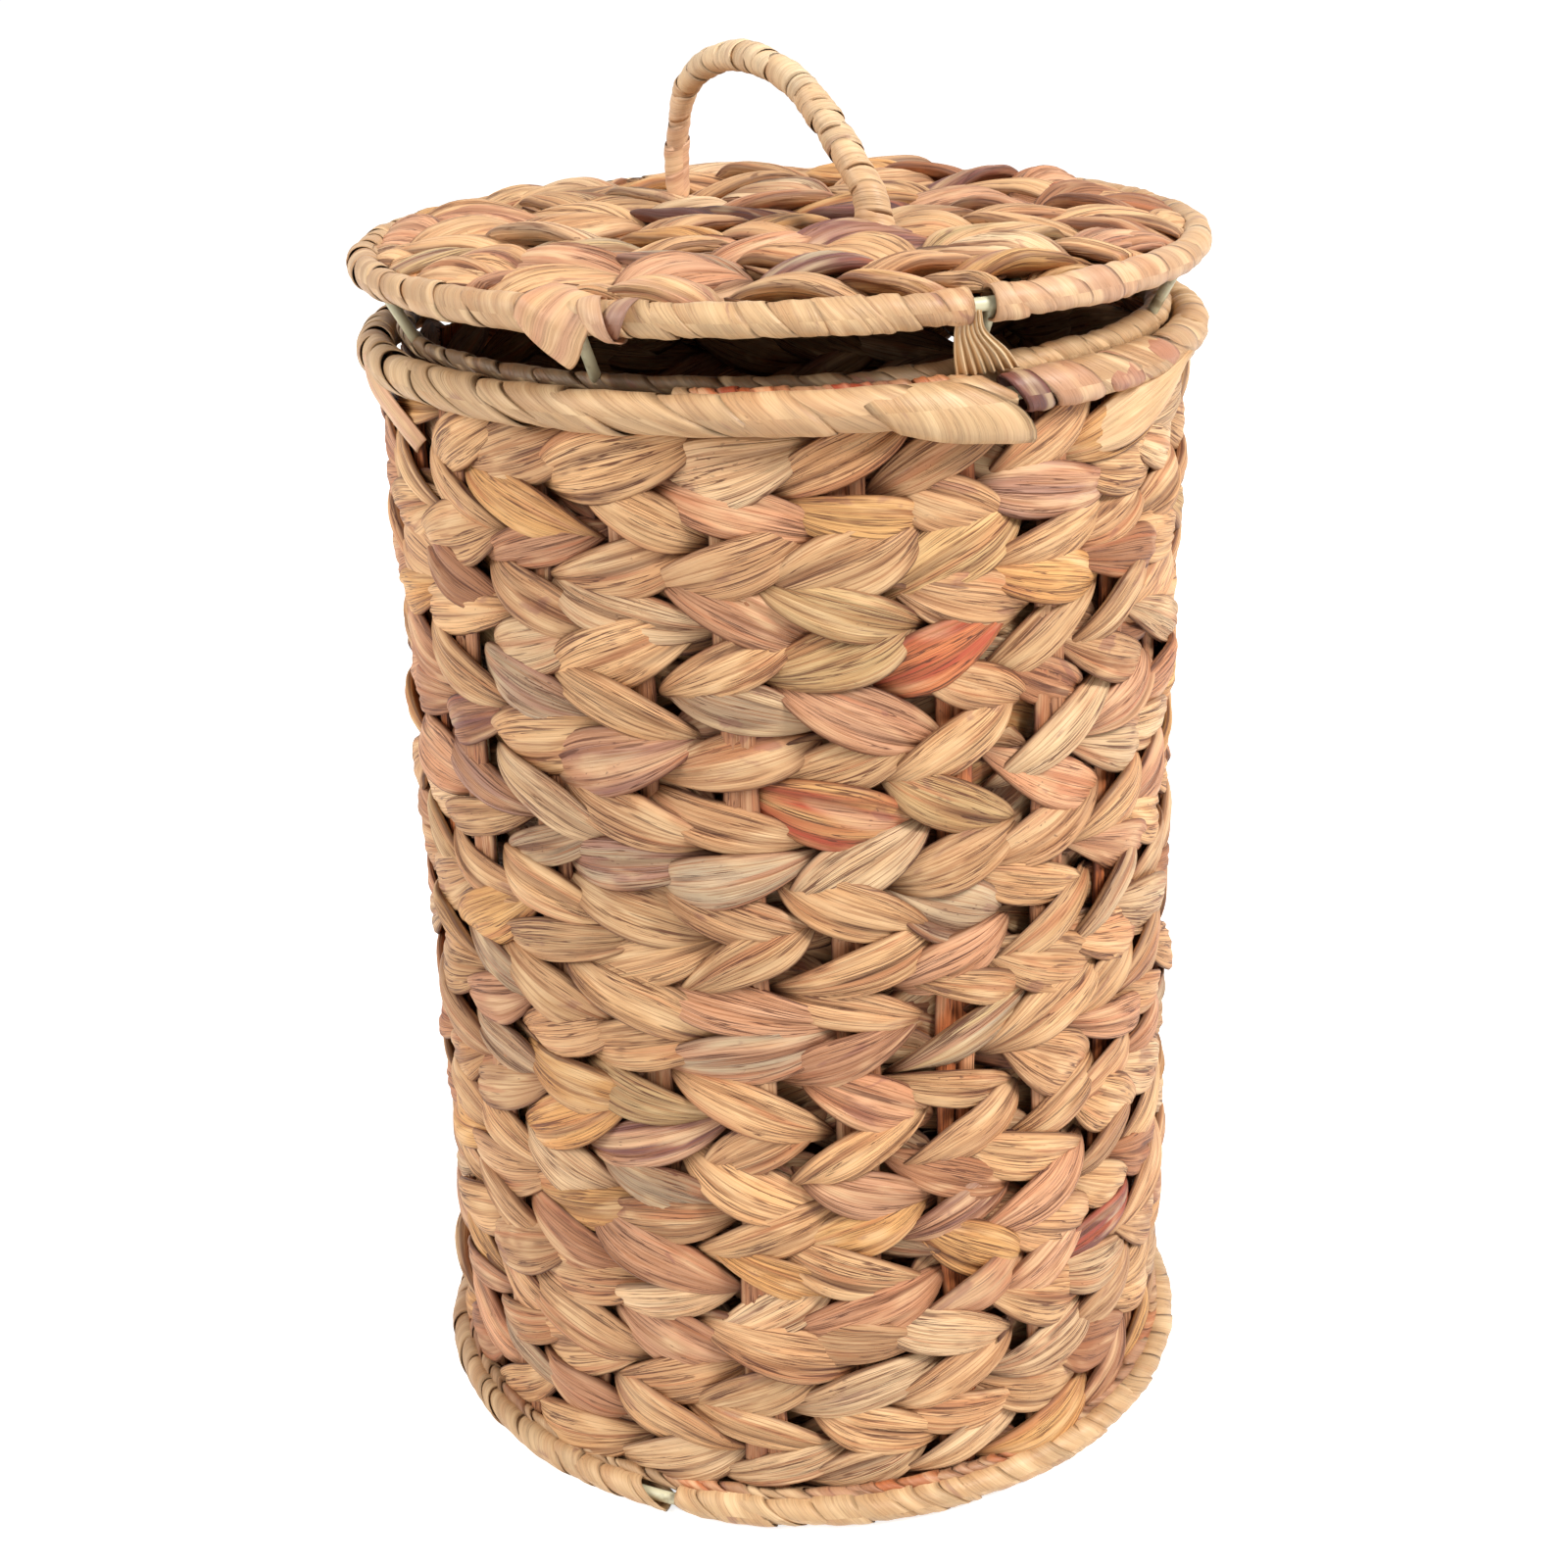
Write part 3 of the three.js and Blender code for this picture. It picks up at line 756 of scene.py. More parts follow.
@dataclass
class Unevenness:
    """How much stitches differ from each other: the spreads of their sizes and places."""

    width: float = 0.15
    length: float = 0.09
    lift: float = 0.7 * MM
    shift: float = 1.1 * MM  # along the row's height
    slip: float = 3 * MM  # along the row
    slant: float = 0.11  # in radians
    tilt: float = 0.15  # of the turn about their own length, in radians
    twist: float = 0.25  # how much more it turns at the tips
    bend: float = 0.13  # sideways, as a share of the width
    skew: float = 0.16  # how far the broadest place is off the middle
    fold_depth: float = 1.4 * MM
    fold_widths: tuple[float, float] = (0.04, 0.14)  # as shares of half the strand
    fold_reach: float = 0.8  # how far out the folds are, as a share of half the strand
    fold_length: float = 0.7  # how far they run and how far off the middle, as shares of half the length
    lap_depth: float = 1.1 * MM  # a step where one side of the strand lies over the other
    lap_place: float = 0.35
    ripple: float = 0.18 * MM
    buckle: float = 0.5 * MM
    streak: float = 0.4  # of how strong the streaks are


@dataclass(frozen=True)
class Leaf:
    """The curves of a stitch's outline and colour, as powers of the distances from its middle."""

    taper: float = 1.9
    width: float = 0.72
    depth: float = 0.45
    dive: float = 2.3
    least_half: float = 0.25 * MM
    least_depth: float = 0.2 * MM
    flattened: float = 0.6  # how much of its height it loses at the end of an open row
    streak: float = 0.9  # how strong its streaks are
    rim: float = 0.14  # how broad the painted shade at its rims is, as a share of half its width
    painted_shade: tuple[float, float, float] = (0.9, 0.7, 0.85)  # how dark the painted shade is at its rims, folds and tips
    stain_and_shade: tuple[float, float, float] = (0.7, 0.3, 0.5)  # warm brown towards its tips and rims and in its folds, partly its own colour, partly painted shade


# The plainer section of stitches that are hardly seen, and how many points they have along them
PLAIN_SECTION = Section(14, 0.5, 0.75)
PLAIN_RINGS = 14


@dataclass
class Stitches:
    """Flat strands laid slanting over the stakes or rods, each a long leaf that dives in at both tips.

    Seen straight on a stitch is a lens. Its middle stands off the row's middle by the swing, and its tips
    lie behind that by the dive. Its face turns up at the upper tip and down at the lower one.
    """

    pitch: float  # between two stakes
    reach: float = 0.87  # half its length, as a share of the pitch
    swing: float = 4.5 * MM
    dive: float = 2.4 * MM
    slant: float = 0.33  # in radians
    broad: float = 9.2 * MM  # half width
    thin: float = 2.1 * MM  # half thickness
    rock: float = 0.45  # in radians
    rings: int = 30
    section: Section = field(default_factory=lambda: Section(30, 0.36, 0.7))
    folds: int = 4
    uneven: Unevenness = field(default_factory=Unevenness)
    leaf: Leaf = Leaf()

    def row(
        self,
        path: RingPath | RowPath,
        places: np.ndarray,
        lean: int,
        outside: int,
        colours: tuple[np.ndarray, np.ndarray],
        rng: np.random.Generator,
    ) -> Shells:
        """The stitches on one side of a row.

        Args:
            path: The row's path.
            places: Where the stitches' middles are along it.
            lean: 1 where they rise along the path, -1 where they fall.
            outside: 1 for the outer side, -1 for the inner one.
            colours: A main and a streak colour for each stitch.
            rng: The seeded generator for their unevenness.

        Returns:
            The stitches as shells.
        """
        tones, streaks = colours
        count = len(places)
        uneven, leaf = self.uneven, self.leaf
        t = np.sin(math.pi / 2 * np.linspace(-1, 1, self.rings))[None, :, None]
        across, height, way = self.section.outline()
        u = across[None, None, :]

        def own(spread: float, middle: float = 0) -> np.ndarray:
            """A value for each stitch, drawn about a middle."""
            drawn = rng.normal(middle, spread, count)
            return np.clip(drawn, middle - 2 * spread, middle + 2 * spread)[:, None, None]

        def even(low: float, high: float, *folds: int) -> np.ndarray:
            """A value for each stitch, or each of its folds, drawn evenly between two."""
            return rng.uniform(low, high, (count, 1, 1, *folds))

        # The outline, fine is 1 in the middle and 0 at the tips
        phase = even(0, TURN)
        skewed = t + own(uneven.skew) * (1 - t**2)
        fine = np.maximum(1 - np.abs(skewed) ** leaf.taper, 0)
        half = np.maximum(self.broad * own(uneven.width, 1) * fine**leaf.width, leaf.least_half)
        deep = np.maximum(self.thin * fine**leaf.depth, leaf.least_depth)
        x = half * u

        # Folds, a lap, ripples and a buckle on it
        reach, length = uneven.fold_reach, uneven.fold_length
        fold_place = even(-reach, reach, self.folds) * (1 - 0.15 * t[..., None])
        fold_depth = uneven.fold_depth * even(0, 1, self.folds) ** 1.5
        fold_width = even(*uneven.fold_widths, self.folds)
        fading = np.exp(-(((t[..., None] - even(-length, length, self.folds)) / length) ** 2))
        fold = (fold_depth * fading * np.exp(-(((u[..., None] - fold_place) / fold_width) ** 2))).sum(axis=-1)
        lap_place = own(uneven.lap_place) + 0.25 * t * np.sin(phase)
        lap = own(uneven.lap_depth / 2) * (1 + np.tanh((u - lap_place) / 0.05)) / 2
        ripple = uneven.ripple * (np.sin(13 * u + phase + t) + np.sin(6 * u - 2 * phase)) * (1 - u**2)
        buckle = uneven.buckle * np.sin(4 * t + phase) * fine
        y = deep * height + (ripple - (fold + lap) * (1 - u**8)) * fine**0.5 * np.sign(height)

        # Its place beside the path
        face = own(uneven.tilt) + (self.rock + own(uneven.twist)) * t * np.abs(t) * lean * outside
        arch = (self.swing + self.dive) * (1 - np.abs(t) ** leaf.dive)
        out = arch - self.dive + own(uneven.lift) + buckle + y * np.cos(face) - x * np.sin(face)
        aside = y * np.sin(face) + x * np.cos(face) + own(uneven.bend) * self.broad * (1 - t**2)
        slant = (self.slant + own(uneven.slant)) * lean * outside
        along = self.pitch * self.reach * own(uneven.length, 1) * t
        place = places[:, None, None] + own(uneven.slip)
        distance = place + along * np.cos(slant) - aside * np.sin(slant)
        if not path.closed:
            distance = np.clip(distance, -path.half, path.half)
            out *= 1 - leaf.flattened * (distance / path.half) ** 12
        level = own(uneven.shift) + along * np.sin(slant) + aside * np.cos(slant)
        point, normal, side = path.at(distance)
        points = point + outside * out[..., None] * normal + level[..., None] * side
        if not path.closed:
            from_middle = np.linalg.norm(points[..., :2], axis=-1, keepdims=True)
            points[..., :2] *= np.minimum(1, path.radius / from_middle)

        # Its colours, with painted shade at the rims, folds and tips
        streak = 0.5 + 0.8 * np.sin(6 * u + 3 * phase + 2 * t) + 0.5 * np.sin(15 * u + phase - 3 * t)
        streak = np.clip(streak * own(uneven.streak, leaf.streak), 0, 1)[..., None]
        colour = tones[:, None, None, :] * (1 - streak) + streaks[:, None, None, :] * streak
        rim = np.clip((np.abs(u) - 1 + leaf.rim) / leaf.rim, 0, 1) ** 1.5
        hollow = np.clip(fold / MM - 0.3, 0, 1)
        by_rim, by_fold, by_tip = leaf.painted_shade
        edge = np.clip(by_rim * rim + by_fold * hollow + by_tip * np.abs(t) ** 6, 0, 1)
        to_tip, to_rim, to_fold = leaf.stain_and_shade
        stain_and_shade = np.clip(to_tip * np.abs(t) ** 3 + to_rim * np.abs(u) ** 5 + to_fold * fold / MM, 0, 1)
        turned = even(0, UV_SPREAD) + way * self.broad + 0 * t
        run = along + even(0, UV_SPREAD) + 0 * way
        return Shells(points, turned, run, colour, stain_and_shade + 0 * half, edge + 0 * half, looped=False)


@dataclass(frozen=True)
class Special:
    """A stitch that stands out in colour: its row, its stake, its main colour and its streaks."""

    row: int
    stake: int
    tone: Tone
    streak: Tone


def put_specials(
    specials: Sequence[Special], row: int, stakes: np.ndarray, tones: np.ndarray, streaks: np.ndarray
) -> None:
    """Gives a row's special stitches their colours.

    Args:
        specials: The special stitches of all rows.
        row: The row.
        stakes: The number of each stake of the row.
        tones: Main colours, one a stake.
        streaks: Streak colours, one a stake.
    """
    for special in specials:
        if special.row == row:
            tones[stakes == special.stake] = special.tone.value
            streaks[stakes == special.stake] = special.streak.value


@dataclass
class Wall:
    """The basket's wall: twined rows on upright stakes, each row leaning the other way than the last."""

    finish: bpy.types.Material
    rows: int = 23
    stakes: int = 24
    inner_shade: float = 0.5  # how light the inner side is kept: painted shade that darkens the gaps
    seed: int = 7
    specials: tuple[Special, ...] = (
        Special(19, 2, Tone.RED, Tone.ORANGE),
        Special(16, 1, Tone.RED, Tone.HONEY),
        Special(17, -1, Tone.DUSTY, Tone.PURPLE),
        Special(18, -2, Tone.GREYGREEN, Tone.MAUVE),
        Special(14, 2, Tone.GREYGREEN, Tone.GREYGREEN),
        Special(11, 2, Tone.GREYGREEN, Tone.OLIVE),
        Special(11, 0, Tone.GREYGREEN, Tone.DUSTY),
        Special(15, -1, Tone.GREYGREEN, Tone.MAUVE),
        Special(15, 0, Tone.GREYGREEN, Tone.DUSTY),
        Special(7, 2, Tone.DUSTY, Tone.PURPLE),
        Special(5, 4, Tone.RED, Tone.PURPLE),
        Special(22, 3, Tone.DUSTY, Tone.MAUVE),
        Special(20, 0, Tone.BROWN, Tone.DUSTY),
        Special(16, -3, Tone.MAUVE, Tone.BROWN),
        Special(17, -3, Tone.BROWN, Tone.PURPLE),
        Special(9, -1, Tone.PINKISH, Tone.PURPLE),
    )

    @property
    def radius(self) -> float:
        """The middle of the stakes, from the first spoke's place."""
        low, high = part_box("spoke_01")
        return math.hypot((low[0] + high[0]) / 2, (low[1] + high[1]) / 2)

    def row_colours(self, row: int, rng: np.random.Generator) -> tuple[np.ndarray, np.ndarray]:
        """The main and streak colours of a row's outer stitches, one a stake, special ones included."""
        tones = draw_tones(rng, self.stakes)
        streaks = streaks_of(tones, rng)
        stakes = np.arange(self.stakes)
        numbers = np.where(stakes < self.stakes / 2, stakes, stakes - self.stakes)
        put_specials(self.specials, row, numbers, tones, streaks)
        return tones, streaks

    def build(self) -> None:
        """Builds the rows, stitches outside and plainer ones inside."""
        radius = self.radius
        pitch = radius * TURN / self.stakes
        outer = Stitches(pitch)
        inner = Stitches(pitch, rings=PLAIN_RINGS, section=PLAIN_SECTION)
        places = np.arange(self.stakes) * pitch
        for row in range(1, self.rows + 1):
            node = f"weave_row_{row:02d}"
            low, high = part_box(node)
            rng = np.random.default_rng(self.seed * 100 + row)
            path = RingPath(radius, (low[2] + high[2]) / 2, FIRST_STAKE)
            lean = 1 if row % 2 else -1
            # Painted shade: the inner stitches are darkened so that the gaps between stitches look dark
            inside = draw_tones(rng, self.stakes) * self.inner_shade
            front = outer.row(path, places, lean, 1, self.row_colours(row, rng), rng)
            back = inner.row(path, places, lean, -1, (inside, streaks_of(inside, rng)), rng)
            mesh = joined([front.mesh("outer_stitches"), back.mesh("inner_stitches")], f"wall_row_{row:02d}")
            place_piece(mesh, BASKET, self.finish, [node])


# Rows from the front, and rods from the middle one
LID_SPECIALS = (
    Special(0, -1, Tone.PINKISH, Tone.GOLDEN),
    Special(0, 0, Tone.GOLDEN, Tone.TAN),
    Special(0, 1, Tone.PINKISH, Tone.HONEY),
    Special(1, 0, Tone.PURPLE, Tone.GREYGREEN),
    Special(1, 2, Tone.HONEY, Tone.BROWN),
    Special(2, -1, Tone.GREYGREEN, Tone.MAUVE),
    Special(3, 1, Tone.MAUVE, Tone.PURPLE),
    Special(3, 2, Tone.TAN, Tone.OLIVE),
    Special(3, -3, Tone.OLIVE, Tone.GREYGREEN),
    Special(3, -2, Tone.GREYGREEN, Tone.OLIVE),
    Special(3, 3, Tone.PINKISH, Tone.MAUVE),
    Special(6, -1, Tone.PLUM, Tone.PURPLE),
    Special(6, 0, Tone.PLUM, Tone.PLUM),
    Special(6, 1, Tone.PLUM, Tone.PURPLE),
    Special(8, 3, Tone.ORANGE, Tone.RED),
    Special(9, 2, Tone.MAUVE, Tone.PURPLE),
    Special(11, 2, Tone.RED, Tone.BROWN),
)


@dataclass
class Panel:
    """A round panel of straight rows, twined on rods that run from front to back."""

    node: str
    body: str
    finish: bpy.types.Material
    stitches: Stitches
    rows: int = 16
    pieces: int = 4
    seed: int = 11
    tuck: float = 2 * MM  # how far rows run in under the ring round them
    bow: float = 0.3
    sink: float = 2 * MM
    cut_share: float = 0.1  # of the pitch: a last stitch that reaches in less is left out
    under_swing: float = 2.4 * MM  # the underside is flatter
    under_thin: float = 1.7 * MM
    specials: tuple[Special, ...] = ()  # rows counted from the front, and rods from the middle
    tint: tuple[float, float, float] = (1.0, 1.04, 1.1)

    def build(self) -> None:
        """Builds the rows, cut to the round, and shares them out over a few pieces."""
        low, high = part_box(self.node)
        radius = (high[0] - low[0]) / 2 + self.tuck
        height = (high[2] + low[2]) / 2
        pitch = (high[1] - low[1]) / self.rows
        groups: list[list[bpy.types.Mesh]] = [[] for _ in range(self.pieces)]
        under = replace(
            self.stitches,
            swing=self.under_swing,
            thin=self.under_thin,
            rings=PLAIN_RINGS,
            section=PLAIN_SECTION,
        )
        for row in range(self.rows):
            rng = np.random.default_rng(self.seed * 100 + row)
            path = RowPath(low[1] + (row + 0.5) * pitch, height, radius, self.bow, self.sink)
            lean = 1 if row % 2 else -1
            reach = math.ceil(path.half / self.stitches.pitch - self.cut_share)
            rods = np.arange(-reach, reach + 1)
            tones = draw_tones(rng, len(rods)) * np.array(self.tint)
            streaks = streaks_of(tones, rng)
            put_specials(self.specials, row, rods, tones, streaks)
            places = np.clip(rods * self.stitches.pitch, -path.half, path.half)
            for side, stitches in ((1, self.stitches), (-1, under)):
                shells = stitches.row(path, places, lean, side, (tones, streaks), rng)
                groups[row * self.pieces // self.rows].append(shells.mesh(f"{self.node}_stitches"))
        for number, group in enumerate(groups, 1):
            mesh = joined(group, f"{self.node}_rows_{number}")
            place_piece(mesh, self.body, self.finish, [self.node] if number == 1 else ())


@dataclass(frozen=True)
class Band:
    """A band that stands out in a winding. Angles round the tube are measured up from the outside."""

    place: float  # where it crosses the outside, as a share of the path
    width: float
    slant: float  # how far it shifts along the path from the outside to the top
    flare: float = 0.1  # how much further its far edge reaches where it is widest
    toward: float = 0.0  # where round the tube that is
    lift: float = 0.0  # how far it stands off there
    over: float = 0.8 * MM  # how far it stands off everywhere
    tone: Tone = Tone.GOLDEN


@dataclass
class Winding:
    """Flat bands wound side by side round a tube, each over the edge of the last."""

    name: str
    path: RingPath | CurvePath
    tube: float  # outer radius of the winding
    body: str
    finish: bpy.types.Material
    replaced: tuple[str, ...]
    widths: Stops = ((0, 11 * MM),)  # a band's width by share of the path
    girths: Stops = ((0, 1),)  # the tube's radius by share of the path, times tube
    bands: tuple[Band, ...] = ()
    bare: Stops = ()  # stretches of the path, in shares, without ordinary bands
    unevenness: float = 0.28  # of the width
    overlap: float = 1.3  # how much wider a band is than its share of the way
    slant: float = 6 * MM
    thickness: float = 0.8 * MM
    lap: float = 0.75 * MM  # how far the upper edge stands over the lower one
    around: int = 32
    sides: int = 14
    seed: int = 23
    tones: tuple[Tone, ...] = (Tone.GOLDEN, Tone.TAN, Tone.PINKISH, Tone.GOLDEN, Tone.TAN, Tone.GOLDEN)
    shades: Stops = ((0, 1),)  # how light the strand is, by share of the path, also used to paint shade
    dulled: float = 0.78  # how light handled strand is beside fresh strand
    dulled_spread: float = 0.03
    run: float = 5  # how many bands in a row have about the same colour
    outline: float = 0.35  # how dark the painted shade at the bands' edges is
    outline_share: float = 0.1  # how broad those are, as a share of half the width
    least_size: float = 0.5  # of a band's width beside its neighbours'
    most_size: float = 1.8
    slants: tuple[float, float] = (0.6, 1.4)  # how slants differ, times the slant
    most_flare: float = 0.15
    most_over: float = 0.4 * MM
    ridge: float = 0.2 * MM
    dent: float = 0.3 * MM
    lap_power: float = 0.7
    lift_reach: float = 0.8  # how far round the tube a lift goes, in radians
    steps: int = 2000  # of the path, where widths are added up

    def places(self, rng: np.random.Generator) -> tuple[np.ndarray, np.ndarray]:
        """Where the ordinary bands are, and how wide.

        Args:
            rng: The seeded generator for their unevenness.

        Returns:
            The middles along the path and the widths.
        """
        length = self.path.length
        way = np.linspace(0, length, self.steps)
        shares, widths = zip(*self.widths)
        wanted = np.interp(way / length, shares, widths)
        passed = np.concatenate([[0], np.cumsum(np.diff(way) / wanted[1:])])
        count = max(round(passed[-1]), 2)
        sizes = np.clip(rng.normal(1, self.unevenness, count), self.least_size, self.most_size)
        edges = np.concatenate([[0], np.cumsum(sizes)]) / sizes.sum() * passed[-1]
        edges = np.interp(edges, passed, way)
        middle, width = (edges[1:] + edges[:-1]) / 2, np.diff(edges)
        kept = np.ones(count, bool)
        for start, end in self.bare:
            kept &= (middle < start * length) | (middle > end * length)
        return middle[kept], width[kept]

    def band_tones(self, count: int, rng: np.random.Generator) -> np.ndarray:
        """Colours of the bands: a strand is several bands long, so they change slowly."""
        stops = max(int(count / self.run), 2)
        picked = np.array([self.tones[i].value for i in rng.integers(0, len(self.tones), stops)])
        at = np.linspace(0, stops - 1, count)
        slow = np.stack([np.interp(at, np.arange(stops), picked[:, n]) for n in range(3)], axis=-1)
        return slow * rng.normal(self.dulled, self.dulled_spread, (count, 1))

    def build(self) -> bpy.types.Object:
        """Builds the bands.

        A band is a flat section carried round the tube. Its distance along the path shifts by the sine of
        the angle round the tube, which slants it, and it stands out more at one edge than at the other.

        Returns:
            The piece.
        """
        rng = np.random.default_rng(self.seed)
        length = self.path.length
        middle, width = self.places(rng)
        plain = len(middle)
        shares, shades = zip(*self.shades)
        ordinary = self.band_tones(plain, rng) * np.interp(middle / length, shares, shades)[:, None]
        special = self.dulled * np.array([band.tone.value for band in self.bands]).reshape(-1, 3)
        tones = np.concatenate([ordinary, special])
        count = len(tones)
        slant = self.slant * rng.uniform(*self.slants, plain)
        flare = rng.uniform(0, self.most_flare, plain)
        toward = rng.uniform(-math.pi, math.pi, plain)

        def with_bands(ordinary: np.ndarray, name: str, times: float = 1) -> np.ndarray:
            """The ordinary bands' values followed by the special ones', shaped to fit the grid."""
            special = np.array([getattr(band, name) for band in self.bands]) * times
            return np.concatenate([ordinary, special])[:, None, None]

        middle = with_bands(middle, "place", length)
        width = with_bands(width * self.overlap, "width")
        slant = with_bands(slant, "slant")
        flare = with_bands(flare, "flare")
        toward = with_bands(toward, "toward")
        lift = with_bands(np.zeros(plain), "lift")
        over = with_bands(rng.uniform(0, self.most_over, plain), "over")
        across, height, way = Section(self.sides, 0.45, 0.8).outline()
        x = across[None, None, :]
        a = (TURN * np.arange(self.around) / self.around)[None, :, None]
        wave = rng.uniform(0, TURN, count)[:, None, None]
        apart = (a - toward + math.pi) % TURN - math.pi
        broader = 1 + flare * np.cos(apart) * (x + 1) / 2
        distance = middle - slant * np.sin(a) + 0.5 * width * x * broader
        if not self.path.closed:
            distance = np.clip(distance, 0, length)
        ordinary = np.arange(count)[:, None, None] < plain
        for start, end in self.bare:
            before, after = ordinary & (middle < start * length), ordinary & (middle > end * length)
            distance = np.where(before, np.minimum(distance, start * length), distance)
            distance = np.where(after, np.maximum(distance, end * length), distance)
        shares, girths = zip(*self.girths)
        core = self.tube * np.interp(distance / length, shares, girths) - self.lap - self.thickness
        lifted = self.lap + lift * np.exp(-((apart / self.lift_reach) ** 2))
        stand = over + ((x + 1) / 2) ** self.lap_power * lifted
        ridge = self.ridge * np.sin(6 * x + wave + 0.6 * np.sin(a + wave)) * (1 - x**2)
        out = core + stand + self.thickness * (1 + height[None, None, :]) / 2 + ridge * (height > 0)
        out += self.dent * np.sin(2 * a + wave)
        point, normal, side = self.path.at(distance)
        points = point + (out * np.cos(a))[..., None] * normal + (out * np.sin(a))[..., None] * side
        tone = tones[:, None, None, :] * np.ones((1, self.around, len(across), 1))
        # Painted shade: warm along the lower edge that runs under the last band, dark at both edges
        shade = np.clip(0.5 * (0.5 - 0.5 * x) ** 4, 0, 1) + 0 * out
        rim = np.clip((np.abs(x) - 1 + self.outline_share) / self.outline_share, 0, 1)
        edge = rim * self.outline + 0 * out
        grid = np.linspace(0, TURN * self.tube, self.around + 1)[None, :, None]
        along = grid + 0 * middle + 0 * way
        uv_across = rng.uniform(0, UV_SPREAD, count)[:, None, None] + way * 0.5 * width + 0 * grid
        mesh = Shells(points, uv_across, along, tone, shade, edge).mesh(self.name)
        return place_piece(mesh, self.body, self.finish, self.replaced)


@dataclass(frozen=True)
class Stop:
    """A place on a loose strip: where it is, how wide it is there and how its face is turned."""

    angle: float  # degrees from the front
    radius: float
    height: float
    half: float  # half width
    tilt: float = 0.0  # degrees that its face is turned up from facing outwards


@dataclass
class Strip:
    """A loose strip of strand through a few places, smooth or pleated."""

    name: str
    body: str
    finish: bpy.types.Material
    stops: tuple[Stop, ...]
    tone: Tone = Tone.GOLDEN
    streak: Tone = Tone.TAN
    thickness: float = 0.9 * MM
    pleats: float = 0.0  # how many folds run along it
    pleat_depth: float = 0.8 * MM
    cup: float = 0.0  # how far its edges bend back
    level: bool = False  # whether it is cut level, or square to its own way
    pleat_power: float = 0.7  # how sharp the pleats are: less is sharper
    least_half: float = 0.1 * MM
    rim: float = 0.06  # how broad the painted shade at its rims is, as a share of half its width
    rim_shade: float = 0.4
    hollow_shades: tuple[float, float] = (0.9, 0.8)  # how much warm and how much dark painted shade lies in the pleats' hollows
    rings: int = 40
    sides: int = 60
    replaced: tuple[str, ...] = ()

    def build(self) -> bpy.types.Object:
        """Builds the strip.

        The values run smoothly from stop to stop. The pleats are a sharpened wave across.

        Returns:
            The piece.
        """
        values = np.array([[s.angle, s.radius, s.height, s.half, s.tilt] for s in self.stops])
        angle, radius, level, half, tilt = cubic_through(values, self.rings).T
        angle, tilt, half = np.radians(angle), np.radians(tilt), np.maximum(half, self.least_half)
        outward = np.stack([np.sin(angle), -np.cos(angle), 0 * angle], axis=-1)
        up = np.array([0, 0, 1.0])
        centre = radius[:, None] * outward + level[:, None] * up
        way = np.gradient(centre, axis=0)
        face = np.cos(tilt)[:, None] * outward + np.sin(tilt)[:, None] * up
        side = np.cross(way, face)
        if self.level:
            side = np.cross(outward, up)
        side /= np.linalg.norm(side, axis=1, keepdims=True)
        face = np.cross(side, way)
        face /= np.linalg.norm(face, axis=1, keepdims=True)
        across, height, turned = Section(self.sides, 0.4, 0.9).outline()
        off = 0.5 * self.thickness * height - self.cup * across**2
        mix, hollow = 0.5 + 0.5 * np.sin(9 * across), 0 * across
        if self.pleats:
            wave = np.cos(TURN * self.pleats / 2 * (across + 1))
            fold = self.pleat_depth * np.sign(wave) * np.abs(wave) ** self.pleat_power * (1 - across**8)
            off = 0.5 * self.thickness * height + fold - self.cup * across**2
            mix = np.clip(0.5 - 0.5 * wave, 0, 1)
            hollow = np.clip(-wave, 0, 1) ** 6 * self.hollow_shades[0]
        sideways = (half[:, None] * across)[..., None] * side[:, None]
        points = centre[:, None] + sideways + off[:, None] * face[:, None]
        tone = np.array(self.tone.value) * (1 - mix[:, None]) + np.array(self.streak.value) * mix[:, None]
        distance = distances(centre)
        # Painted dark shade at the rims, and more in the pleats' hollows
        edge = self.rim_shade * np.clip((np.abs(across) - 1 + self.rim) / self.rim, 0, 1)
        shells = Shells(
            points[None],
            (turned * half.max() + 0 * distance[:, None])[None],
            (distance[:, None] + 0 * turned)[None],
            np.broadcast_to(tone, points.shape)[None],
            np.broadcast_to(hollow, points.shape[:2])[None],
            np.broadcast_to(edge + self.hollow_shades[1] * hollow, points.shape[:2])[None],
            looped=False,
        )
        return place_piece(shells.mesh(self.name), self.body, self.finish, self.replaced)


def share_at(angle: float) -> float:
    """The share of the way round a ring that starts at the back, at an angle in degrees from the front."""
    return 0.5 + angle / 360


